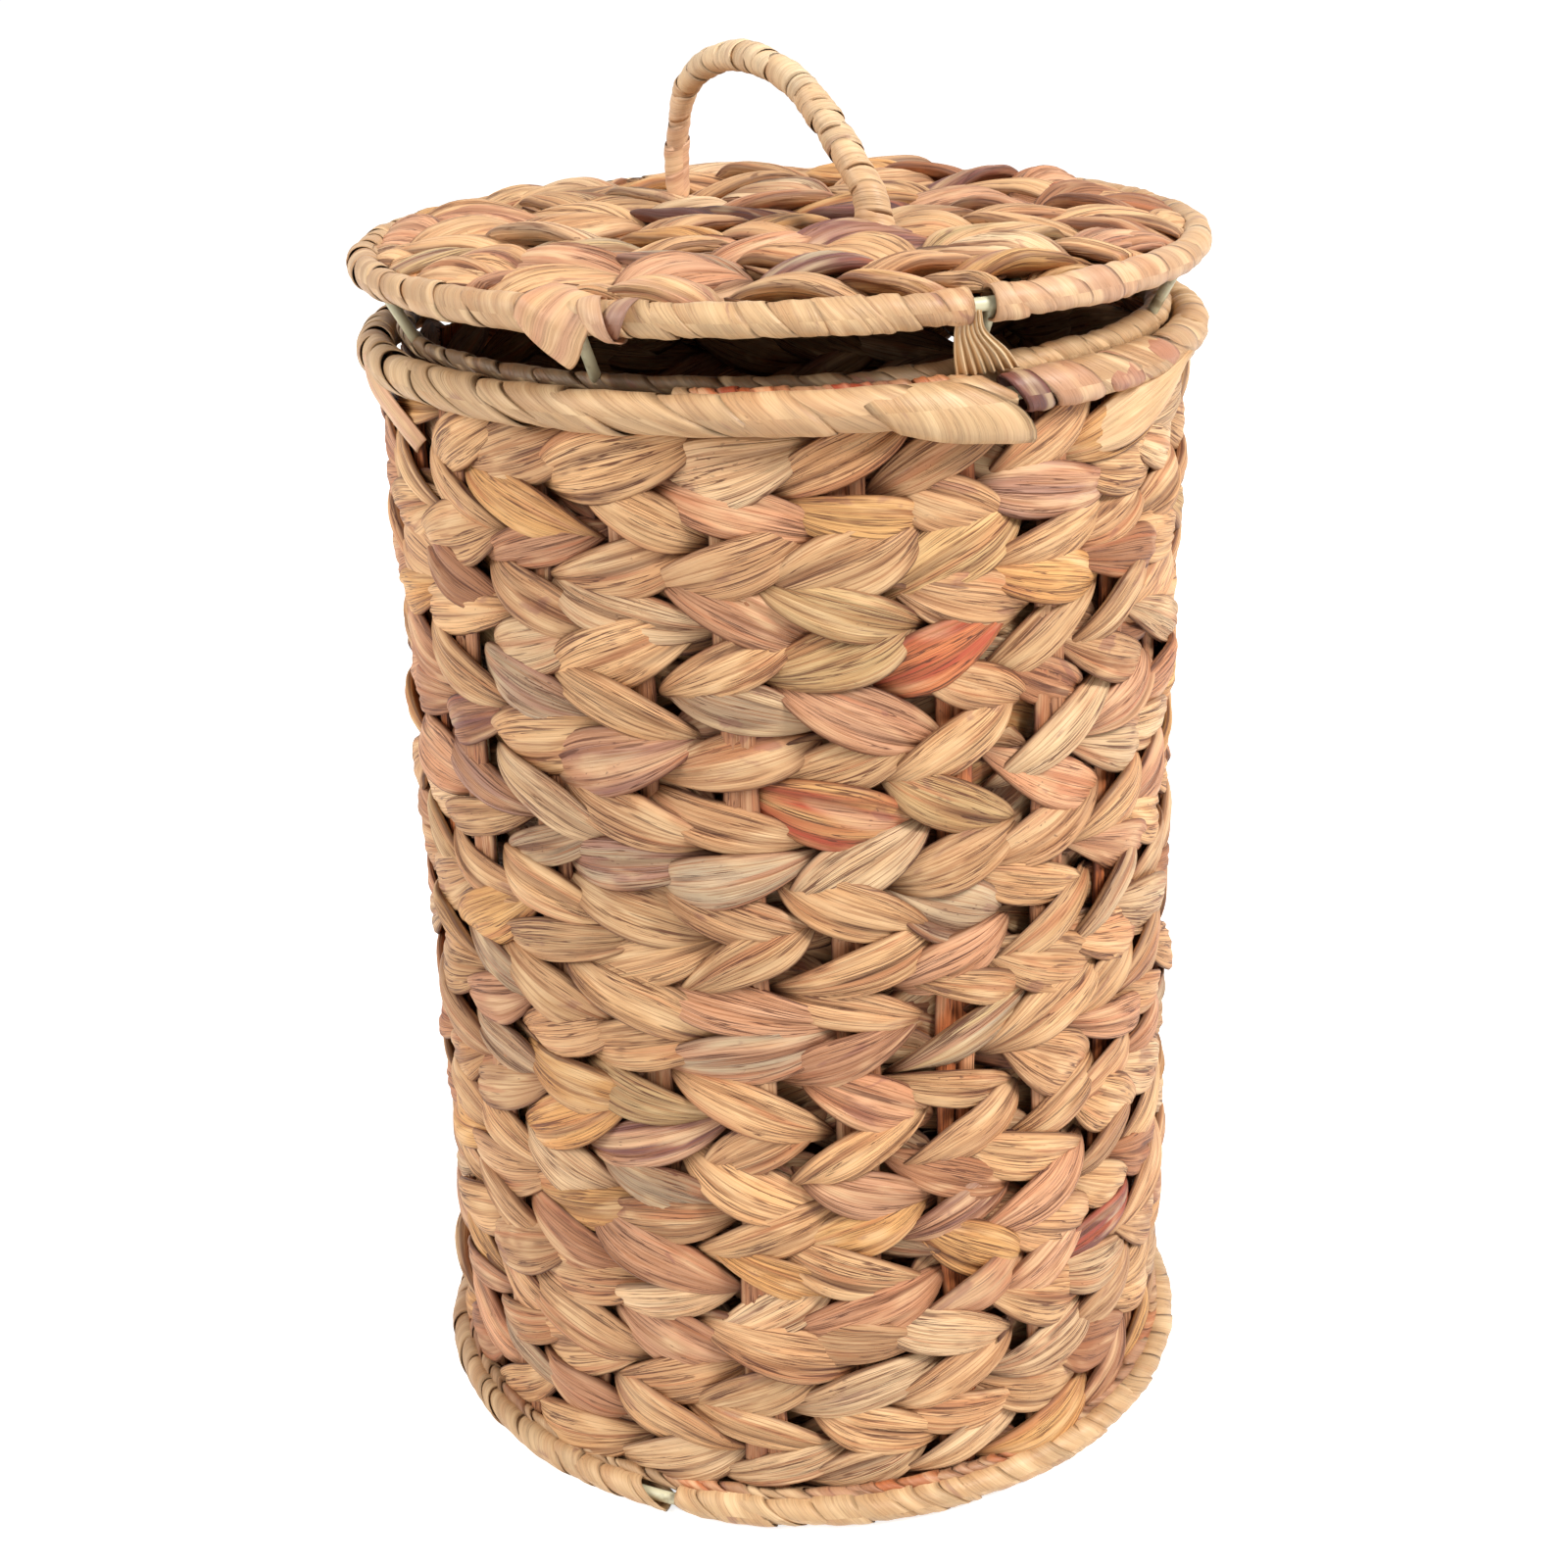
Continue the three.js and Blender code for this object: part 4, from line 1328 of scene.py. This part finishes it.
def tube_shells(paths: Sequence[np.ndarray], radius: float, sides: int, looped: bool) -> Shells:
    """Round tubes along lines of points.

    A tube's rings stand square to the line. Their first direction is square to the line and to the
    axis that the line leans to least.

    Args:
        paths: Lines of points, all of the same number.
        radius: The tubes' radius.
        sides: Points a ring.
        looped: Whether each line closes on itself.

    Returns:
        The tubes as shells.
    """
    line = np.stack(paths)
    way = np.roll(line, -1, axis=1) - np.roll(line, 1, axis=1)
    if not looped:
        way[:, 0] = line[:, 1] - line[:, 0]
        way[:, -1] = line[:, -1] - line[:, -2]
    way /= np.linalg.norm(way, axis=-1, keepdims=True)
    least = np.eye(3)[np.argmin(np.abs(way).sum(axis=1), axis=-1)][:, None]
    first = np.cross(way, np.broadcast_to(least, way.shape))
    first /= np.linalg.norm(first, axis=-1, keepdims=True)
    second = np.cross(way, first)
    angle = TURN * np.arange(sides) / sides
    points = line[:, :, None] + radius * (
        np.cos(angle)[:, None] * first[:, :, None] + np.sin(angle)[:, None] * second[:, :, None]
    )
    shells, rings = points.shape[:2]
    uv = np.zeros((shells, rings + 1, sides + 1))
    plain = np.zeros(points.shape[:3])
    return Shells(points, uv, uv, np.ones((shells, rings, sides, 3)), plain, plain, looped)


def circle(radius: float, height: float, count: int = 180) -> np.ndarray:
    """Points on a level circle."""
    angle = TURN * np.arange(count) / count
    return np.stack([radius * np.sin(angle), -radius * np.cos(angle), height + 0 * angle], axis=-1)


def polar(angle: float, radius: float, height: float) -> np.ndarray:
    """The place at an angle from the front, a radius and a height."""
    return np.array([radius * math.sin(angle), -radius * math.cos(angle), height])


def line(start: np.ndarray, end: np.ndarray, count: int = 8) -> np.ndarray:
    """Points on a straight line."""
    return start + (end - start) * np.linspace(0, 1, count)[:, None]


@dataclass
class Wires:
    """The welded wires: hoops, uprights and rods of the basket, and hoops, struts and rods of the lid."""

    finish: bpy.types.Material
    radius: float = 1.75 * MM
    hoop_radius: float = 2 * MM
    rod_spread_share: float = 0.77  # of the rim's radius, out to the last rods
    rods_each_side: int = 3
    rod_gap: float = 3.5 * MM  # from a hoop's middle in to the rods' ends, which its winding hides
    rod_drop: float = 2 * MM  # how far the lid's rods lie under the middle of its panel
    uprights: int = 8
    struts: tuple[float, ...] = (26, 67.5, 112.5, 157.5, 202.5, 247.5, 292.5, 334.2)  # degrees from the front
    sides: int = 16

    @property
    def spacing(self) -> float:
        """Between two rods."""
        rim, _ = RingPath.of_node("rim_wrap")
        return rim.radius * self.rod_spread_share / self.rods_each_side

    def rods(self, hoop: float, height: float) -> list[np.ndarray]:
        """Front-to-back rods that end in a hoop."""
        places = [(i - self.rods_each_side) * self.spacing for i in range(2 * self.rods_each_side + 1)]
        reach = [math.sqrt((hoop - self.rod_gap) ** 2 - x**2) for x in places]
        return [line(np.array([x, -y, height]), np.array([x, y, height])) for x, y in zip(places, reach)]

    def build_basket(self, wall_radius: float) -> None:
        """Builds the basket's wires as one piece.

        Args:
            wall_radius: The middle of the stakes.
        """
        rim, rim_tube = RingPath.of_node("rim_wrap")
        foot, foot_tube = RingPath.of_node("foot_wrap")
        low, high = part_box("base_weave")
        low_bend = foot.height + foot_tube - self.radius
        high_bend = rim.height - rim_tube + self.radius
        lines = []
        for i in range(self.uprights):
            angle = FIRST_STAKE + i * TURN / self.uprights
            bends = (
                polar(angle, foot.radius, foot.height),
                polar(angle, wall_radius, low_bend),
                polar(angle, wall_radius, high_bend),
                polar(angle, rim.radius, rim.height),
            )
            lines += [line(a, b) for a, b in zip(bends, bends[1:])]
        lines += self.rods(foot.radius, (low[2] + high[2]) / 2)
        hoops = [circle(rim.radius, rim.height), circle(foot.radius, foot.height)]
        parts = [
            tube_shells(lines, self.radius, self.sides, False).mesh("basket_wires"),
            tube_shells(hoops, self.hoop_radius, self.sides, True).mesh("basket_hoops"),
        ]
        place_piece(joined(parts, "basket_wires"), BASKET, self.finish, ["wire_frame"])

    def build_lid(self) -> None:
        """Builds the lid's wires as one piece."""
        ring, _ = RingPath.of_node("lid_wrap")
        seat, _ = RingPath.of_node("seat_wrap")
        low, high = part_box("lid_weave")
        lines = []
        for strut in self.struts:
            angle = math.radians(strut)
            lines.append(line(polar(angle, seat.radius, seat.height), polar(angle, ring.radius, ring.height)))
        lines += self.rods(ring.radius, (low[2] + high[2]) / 2 - self.rod_drop)
        hoops = [circle(ring.radius, ring.height), circle(seat.radius, seat.height)]
        parts = [
            tube_shells(lines, self.radius, self.sides, False).mesh("lid_wires"),
            tube_shells(hoops, self.hoop_radius, self.sides, True).mesh("lid_hoops"),
        ]
        place_piece(joined(parts, "lid_wires"), LID, self.finish, ["lid_frame"])


@dataclass
class Spokes:
    """The wide flat stakes between the wires, and the strands that hide the wires, of two strands each."""

    finish: bpy.types.Material
    count: int = 16
    seed: int = 31
    rings: int = 60
    strands: int = 2
    half: float = 3.5 * MM
    thin: float = 1.5 * MM
    apart: float = 5.6 * MM
    drift: float = 0.8 * MM
    drift_rate: float = 40  # how fast the strands wander sideways, in radians per metre
    swell: float = 0.15  # how much their width varies
    swell_rate: float = 90
    ridge: float = 0.2 * MM
    ridge_rate: float = 9  # from the middle to the edge, in radians
    shade: float = 0.4
    sides: int = 18
    tones: tuple[Tone, ...] = (Tone.BROWN, Tone.ORANGE, Tone.DUSTY)
    before_wire: float = 2.4 * MM  # from a wire's middle out to the middle of the strands before it

    def stake(
        self, name: str, outward: np.ndarray, radius: float, heights: tuple[float, float], seed: int
    ) -> bpy.types.Mesh:
        """The strands of one stake.

        Args:
            name: The mesh's name.
            outward: The level direction from the middle out to it.
            radius: How far out it stands.
            heights: Its two ends.
            seed: Seed of its unevenness.

        Returns:
            The mesh.
        """
        rng = np.random.default_rng(seed)
        across, height, way = Section(self.sides).outline()
        sideways = np.array([-outward[1], outward[0], 0.0])
        up = np.linspace(*heights, self.rings)[:, None]
        parts = []
        for strand in range(self.strands):
            centre = (strand - (self.strands - 1) / 2) * self.apart
            centre = centre + self.drift * np.sin(up * self.drift_rate + rng.uniform(0, TURN))
            swell = 1 + self.swell * np.sin(up * self.swell_rate + rng.uniform(0, TURN))
            x = centre + self.half * swell * across
            ridge = self.ridge * np.sin(self.ridge_rate * across) * np.sign(height)
            y = radius + self.thin * height + ridge + 0 * up
            points = x[..., None] * sideways + y[..., None] * outward
            points[..., 2] = up
            colour = rng.choice(np.array([tone.value for tone in self.tones]))
            grid = points.shape[:2]
            # Painted dark shade along each strand's edges
            shells = Shells(
                points[None],
                np.broadcast_to(rng.uniform(0, UV_SPREAD) + way * self.half, (self.rings, len(way)))[None],
                np.broadcast_to(up, (self.rings, len(way)))[None],
                np.broadcast_to(colour, points.shape)[None],
                np.full((1, *grid), self.shade),
                np.broadcast_to(np.abs(across) ** 8, grid)[None],
                looped=False,
            )
            parts.append(shells.mesh(name))
        return joined(parts, name)

    def build(self, wires: Wires, wall_radius: float) -> None:
        """Builds each stake where the frame has its plain one, and the strands before the wires.

        Args:
            wires: The wires.
            wall_radius: The middle of the stakes.
        """
        for number in range(1, self.count + 1):
            node = f"spoke_{number:02d}"
            low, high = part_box(node)
            middle = np.array([low[0] + high[0], low[1] + high[1], 0]) / 2
            radius = float(np.linalg.norm(middle))
            seed = self.seed * 100 + number
            mesh = self.stake(f"stake_{number:02d}", middle / radius, radius, (low[2], high[2]), seed)
            place_piece(mesh, BASKET, self.finish, [node])
        parts = []
        for number in range(wires.uprights):
            outward = polar(FIRST_STAKE + number * TURN / wires.uprights, 1, 0)
            seed = self.seed * 200 + number
            out = wall_radius + self.before_wire
            parts.append(self.stake("wire_cover", outward, out, (low[2], high[2]), seed))
        place_piece(joined(parts, "wire_covers"), BASKET, self.finish)


@dataclass
class Handle:
    """The lid's handle: a wire arch, wound above the panel with narrow bands."""

    finish: bpy.types.Material
    wire: bpy.types.Material
    spacing: float
    back: float = 44 * MM
    front: float = 40 * MM
    lift: float = 2.2 * MM
    rise: float = 43.4 * MM
    wire_radius: float = 1.75 * MM
    beside_rod: float = 3.8 * MM
    wire_sides: int = 16
    wire_rings: int = 96
    girth: float = 5 * MM
    shares: Stops = (  # along it, and up as a share of the rise
        (0, -0.1),
        (0.008, 0.34),
        (0.094, 0.79),
        (0.337, 1),
        (0.603, 0.885),
        (0.78, 0.61),
        (0.898, 0.34),
        (0.965, 0.17),
        (1, -0.1),
    )

    def path(self) -> CurvePath:
        """The arch's centre line, from the back foot to the front one."""
        _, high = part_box("lid_weave")
        top = high[2] + self.lift
        back = np.array([-self.spacing, self.back, top])
        front = np.array([self.spacing - self.beside_rod, -self.front, top])
        rise = np.array([0, 0, self.rise])
        stops = (back + (front - back) * along + rise * up for along, up in self.shares)
        return CurvePath(tuple(tuple(map(float, stop)) for stop in stops))

    def build(self) -> None:
        """Builds the wire with its legs, and the winding."""
        path = self.path()
        low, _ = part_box("handle_wire")
        points = path.at(np.linspace(0, path.length, self.wire_rings))[0]
        leg_back, leg_front = points[0].copy(), points[-1].copy()
        leg_back[2], leg_front[2] = low[2], low[2]
        whole = np.vstack([leg_back, points, leg_front])
        wire = tube_shells([whole], self.wire_radius, self.wire_sides, False).mesh("handle_core")
        place_piece(wire, LID, self.wire, ["handle_wire"])
        Winding(
            "handle_winding",
            path,
            self.girth,
            LID,
            self.finish,
            ("handle_wrap",),
            widths=((0, 8 * MM), (0.4, 6 * MM), (1, 8 * MM)),
            girths=((0, 0.72), (0.2, 0.76), (0.4, 0.92), (0.9, 1), (1, 1.2)),
            shades=((0, 1.2),),
            slant=1.8 * MM,
            thickness=0.5 * MM,
            lap=0.25 * MM,
            unevenness=0.4,
            around=24,
            sides=12,
            tones=(Tone.PALE, Tone.PINKISH, Tone.PALE, Tone.TAN),
            outline=0.04,
        ).build()


@dataclass
class Rings:
    """The four wound rings, with the bands that stand out, and the strips that hang from them."""

    finish: bpy.types.Material
    shreds_inset: float = 3.4 * MM  # from a ring's middle in to its shreds

    def winding(
        self, name: str, node: str, body: str, seed: int, raised: float = 0, **values: object
    ) -> None:
        """Builds the winding of one ring.

        Args:
            name: The piece's name.
            node: The frame's node that it stands for.
            body: The body it rides on.
            seed: Seed of its unevenness.
            raised: How far its middle lies over the node's.
            **values: What differs from an ordinary winding.
        """
        path, tube = RingPath.of_node(node)
        path = RingPath(path.radius, path.height + raised, math.pi)
        Winding(name, path, tube, body, self.finish, (node,), seed=seed, **values).build()

    def rim(self) -> None:
        """Builds the rim's winding: broad bands, a flat flared one and a purple one that it uncovers."""
        bands = (
            Band(share_at(31.2), 9 * MM, 4 * MM, over=0.3 * MM, tone=Tone.PURPLE),
            Band(share_at(18), 36 * MM, 5 * MM, 0.35, toward=-1.2, lift=8.5 * MM, over=0.5 * MM),
            Band(share_at(37.2), 17 * MM, 5 * MM, 0.1, tone=Tone.PINKISH),
            Band(share_at(46), 15 * MM, 6 * MM, 0.1, over=0.3 * MM, tone=Tone.ROSY),
            Band(share_at(57), 12 * MM, 6 * MM, 0.1, over=0.3 * MM, tone=Tone.ROSY),
        )
        bare = ((share_at(28.5), share_at(33.5)),)
        widths = (
            (0, 13 * MM),
            (share_at(-75), 12 * MM),
            (share_at(-50), 19 * MM),
            (share_at(30), 19 * MM),
            (1, 13 * MM),
        )
        self.winding(
            "rim_winding",
            "rim_wrap",
            BASKET,
            23,
            bands=bands,
            bare=bare,
            widths=widths,
            slant=9 * MM,
            tones=(Tone.GOLDEN, Tone.TAN, Tone.GOLDEN, Tone.HONEY),
        )

    def lid(self) -> None:
        """Builds the lid ring's winding, with a knot and a bare stretch over the tie."""
        bands = (
            Band(share_at(-21.8), 7 * MM, 3 * MM, 0.3, -0.3, lift=3 * MM, over=1.4 * MM, tone=Tone.PINKISH),
            Band(share_at(-19.9), 7 * MM, -3 * MM, 0.3, 0.3, lift=2.4 * MM, over=1 * MM, tone=Tone.MAUVE),
        )
        bare = ((share_at(22.6), share_at(25.6)),)
        widths = (
            (0, 12 * MM),
            (share_at(-80), 15 * MM),
            (share_at(-35), 15 * MM),
            (share_at(-20), 10 * MM),
            (share_at(25), 9 * MM),
            (share_at(32), 14 * MM),
            (share_at(80), 14 * MM),
            (1, 12 * MM),
        )
        girths = ((0, 1), (share_at(-45), 1.1), (share_at(45), 1.1), (1, 1))
        self.winding(
            "lid_winding",
            "lid_wrap",
            LID,
            37,
            bands=bands,
            bare=bare,
            widths=widths,
            girths=girths,
            slant=3.5 * MM,
        )

    def foot(self) -> None:
        """Builds the foot ring's winding, which leaves a little wire bare at the left."""
        bare = ((share_at(-22.5), share_at(-21)),)
        values = {"bare": bare, "girths": ((0, 0.95),), "slant": 5 * MM}
        self.winding("foot_winding", "foot_wrap", BASKET, 29, raised=0.7 * MM, **values)

    def seat(self) -> None:
        """Builds the winding of the ring under the lid, with painted shade over the back, the left and the
        front.
        """
        girths = ((0, 0.9), (share_at(-130), 0.7), (share_at(5), 0.7), (share_at(30), 1), (1, 0.9))
        # Painted shade: darkest just right of the front, lightest from there to the right side
        shades = ((0, 0.5), (share_at(10), 0.3), (share_at(28), 1), (share_at(90), 0.9), (1, 0.5))
        self.winding(
            "seat_winding",
            "seat_wrap",
            LID,
            41,
            widths=((0, 12 * MM),),
            girths=girths,
            shades=shades,
            slant=4 * MM,
        )

    def shreds(self, name: str, ring: RingPath, raised: float, girth: float, **values: object) -> None:
        """Builds short torn bands along a ring's inner upper edge.

        Args:
            name: The piece's name.
            ring: The ring's path.
            raised: How far over the ring's middle they lie.
            girth: Their outer radius.
            **values: What differs from an ordinary winding.
        """
        path = RingPath(ring.radius - self.shreds_inset, ring.height + raised, math.pi)
        Winding(
            name,
            path,
            girth,
            BASKET,
            self.finish,
            (),
            unevenness=0.5,
            thickness=0.5 * MM,
            around=16,
            sides=8,
            run=1.5,
            **values,
        ).build()

    def strips(self) -> None:
        """Builds the tie between the lid's rings, the flap, the loose ends on the rim and the shreds."""
        lid, over = RingPath.of_node("lid_wrap")
        seat, _ = RingPath.of_node("seat_wrap")
        rim, tube = RingPath.of_node("rim_wrap")
        foot, foot_tube = RingPath.of_node("foot_wrap")
        self.shreds(
            "foot_shreds",
            foot,
            foot_tube - 0.5 * MM,
            2.6 * MM,
            widths=((0, 9 * MM),),
            slant=5 * MM,
            tones=(Tone.BROWN, Tone.ORANGE, Tone.TAN, Tone.DUSTY),
            seed=59,
        )
        Strip(
            "lid_flap",
            LID,
            self.finish,
            (
                Stop(-23.5, lid.radius - 8 * MM, lid.height + over + 0.5 * MM, 8 * MM, 75),
                Stop(-25.6, lid.radius, lid.height + over + 1 * MM, 11 * MM, 60),
                Stop(-27.4, lid.radius + over + 1 * MM, lid.height, 11.5 * MM, 5),
                Stop(-28.8, lid.radius + over, lid.height - over - 1.5 * MM, 11 * MM, -10),
                Stop(-29.6, lid.radius + over - 1 * MM, lid.height - over - 3.5 * MM, 9.5 * MM, -15),
            ),
            tone=Tone.TAN,
            streak=Tone.DUSTY,
            cup=1 * MM,
        ).build()
        self.shreds(
            "rim_shreds",
            rim,
            tube - 2 * MM,
            2.8 * MM,
            widths=((0, 4 * MM),),
            bare=((0, share_at(-14)), (share_at(24), 1)),
            slant=3 * MM,
            tones=(Tone.ORANGE, Tone.RED, Tone.BROWN, Tone.TAN),
            seed=53,
        )
        Strip(
            "tie",
            LID,
            self.finish,
            (
                Stop(22.6, lid.radius + 1.5 * MM, lid.height - 1 * MM, 3.6 * MM, 20),
                Stop(23, lid.radius + 0.2 * MM, lid.height - 7 * MM, 5 * MM, 15),
                Stop(25.3, lid.radius - 3.2 * MM, seat.height + 6.5 * MM, 8.6 * MM, 20),
                Stop(27, seat.radius + 5.5 * MM, seat.height + 0.5 * MM, 10.4 * MM, 25),
            ),
            tone=Tone.PALE,
            streak=Tone.HONEY,
            pleats=7,
            pleat_depth=0.7 * MM,
            level=True,
            replaced=("binding_strap",),
        ).build()
        Strip(
            "rim_loose_end",
            BASKET,
            self.finish,
            (
                Stop(42, rim.radius - 4 * MM, rim.height - 21 * MM, 4 * MM, 0),
                Stop(49, rim.radius + 1.5 * MM, rim.height - 15 * MM, 8 * MM, 10),
                Stop(56, rim.radius + 5 * MM, rim.height - 8 * MM, 5.5 * MM, 20),
                Stop(63, rim.radius + 7.2 * MM, rim.height - 0.5 * MM, 0.5 * MM, 20),
            ),
            cup=1.5 * MM,
        ).build()
        Strip(
            "rim_long_end",
            BASKET,
            self.finish,
            (
                Stop(-72, rim.radius + tube - 1 * MM, rim.height + 2 * MM, 5 * MM, 10),
                Stop(-69, rim.radius + tube - 1 * MM, rim.height - 6 * MM, 8 * MM, -10),
                Stop(-66, rim.radius + 1 * MM, rim.height - 15 * MM, 8 * MM, -15),
                Stop(-63, rim.radius - 4 * MM, rim.height - 24 * MM, 5 * MM, 0),
            ),
            tone=Tone.PINKISH,
            cup=2 * MM,
        ).build()

    def build(self) -> None:
        """Builds all of them."""
        self.rim()
        self.foot()
        self.lid()
        self.seat()
        self.strips()


@dataclass
class Studio:
    """Floor, light and the camera at the photograph's place."""

    place: tuple[float, float, float] = (0, -0.7661, 0.5184)
    right: tuple[float, float, float] = (0.99949961, -0.00684501, -0.03088163)
    up: tuple[float, float, float] = (0.03120175, 0.3736782, 0.92703347)
    ahead: tuple[float, float, float] = (-0.00519424, 0.92753315, -0.37370479)
    lens: float = 55.06
    sensor: float = 36
    floor_half: float = 20
    sky: float = 0.33
    aim: float = 0.2  # the height that the lamps face

    def floor(self) -> None:
        """Adds the pale floor."""
        half = self.floor_half
        corners = [(-half, -half, 0), (half, -half, 0), (half, half, 0), (-half, half, 0)]
        mesh = bpy.data.meshes.new("floor")
        mesh.from_pydata(corners, [], [(0, 1, 2, 3)])
        mesh.materials.append(FloorFinish().material())
        obj = bpy.data.objects.new("floor", mesh)
        bpy.context.scene.collection.objects.link(obj)

    def lamp(self, name: str, place: tuple[float, float, float], size: float, power: float) -> None:
        """Adds a square lamp that faces the middle of the object.

        Args:
            name: The lamp's name.
            place: Where it stands.
            size: Its side.
            power: In watts.
        """
        light = bpy.data.lights.new(name, "AREA")
        light.size = size
        light.energy = power
        obj = bpy.data.objects.new(name, light)
        back = np.array(place) - np.array([0, 0, self.aim])
        back /= np.linalg.norm(back)
        side = np.cross([0, 0, 1], back)
        side /= np.linalg.norm(side)
        matrix = np.eye(4)
        matrix[:3, 0], matrix[:3, 1] = side, np.cross(back, side)
        matrix[:3, 2], matrix[:3, 3] = back, place
        obj.matrix_world = Matrix(matrix.tolist())
        bpy.context.scene.collection.objects.link(obj)

    def world(self) -> None:
        """Sets an even sky, white to the camera and to reflections."""
        world = bpy.data.worlds.new("studio")
        bpy.context.scene.world = world
        world.use_nodes = True
        tree = world.node_tree
        tree.nodes.clear()
        output = tree.nodes.new("ShaderNodeOutputWorld")
        background = tree.nodes.new("ShaderNodeBackground")
        strength = tree.nodes.new("ShaderNodeMapRange")
        tree.links.new(seen_directly(tree), strength.inputs["Value"])
        strength.inputs["To Min"].default_value = self.sky
        strength.inputs["To Max"].default_value = 1
        tree.links.new(strength.outputs["Result"], background.inputs["Strength"])
        background.inputs["Color"].default_value = (1, 1, 1, 1)
        tree.links.new(background.outputs["Background"], output.inputs["Surface"])

    def camera(self) -> None:
        """Adds the camera."""
        data = bpy.data.cameras.new("camera")
        data.lens = self.lens
        data.sensor_width = self.sensor
        obj = bpy.data.objects.new("camera", data)
        matrix = np.eye(4)
        matrix[:3, 0], matrix[:3, 1] = self.right, self.up
        matrix[:3, 2], matrix[:3, 3] = -np.array(self.ahead), self.place
        obj.matrix_world = Matrix(matrix.tolist())
        bpy.context.scene.collection.objects.link(obj)
        bpy.context.scene.camera = obj

    def build(self) -> None:
        """Sets the stage."""
        bpy.context.scene.view_settings.view_transform = "Standard"
        self.floor()
        self.world()
        self.lamp("key", (1.4, -0.9, 1.9), 0.7, 63)
        self.lamp("fill", (-1.7, -0.8, 1.4), 1.2, 31)
        self.camera()


def main() -> None:
    """Builds the wastebasket around the frame, piece by piece."""
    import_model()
    Studio().build()
    wall_strand = StrandFinish("wall_strand").material()
    panel_strand = StrandFinish(
        "panel_strand", groove_share=0.35, edge_shade_share=0.75, thread_share=0.7, coarseness=2.2, relief=0.8 * MM
    ).material()
    wrap_strand = StrandFinish(
        "wrap_strand",
        groove_share=0.18,
        rust_share=0.1,
        crease_share=0.08,
        speck_share=0.4,
        stain_and_shade_share=0.35,
        edge_shade_share=0.55,
        hair_share=0.35,
        thread_share=0.22,
        roughness=0.48,
        relief=0.2 * MM,
    ).material()
    spoke_strand = StrandFinish("spoke_strand").material()
    paint = WireFinish().material()
    wall = Wall(wall_strand)
    wall.build()
    wires = Wires(paint)
    wires.build_basket(wall.radius)
    wires.build_lid()
    Spokes(spoke_strand).build(wires, wall.radius)
    lid_stitches = Stitches(
        wires.spacing,
        reach=0.8,
        swing=4 * MM,
        dive=3 * MM,
        slant=0.42,
        broad=12.5 * MM,
        thin=3.6 * MM,
        rock=0.5,
        section=Section(30, 0.5, 0.7),
        folds=6,
        uneven=Unevenness(width=0.15, length=0.13, slip=6 * MM, slant=0.12, tilt=0.2, fold_depth=1.8 * MM),
    )
    Panel("lid_weave", LID, panel_strand, lid_stitches, rows=12, specials=LID_SPECIALS).build()
    base_stitches = Stitches(
        wires.spacing,
        swing=1.8 * MM,
        thin=1.5 * MM,
        rock=0.25,
        rings=PLAIN_RINGS,
        section=PLAIN_SECTION,
        uneven=Unevenness(lift=0.3 * MM, tilt=0.05, twist=0.1, fold_depth=0.6 * MM),
    )
    Panel(
        "base_weave",
        BASKET,
        panel_strand,
        base_stitches,
        pieces=1,
        seed=13,
        tuck=0,
        sink=0,
        under_swing=1.6 * MM,
        under_thin=1.3 * MM,
    ).build()
    Rings(wrap_strand).build()
    Handle(wrap_strand, paint, wires.spacing).build()


if __name__ == "__main__":
    logging.basicConfig(level=logging.INFO)
    main()
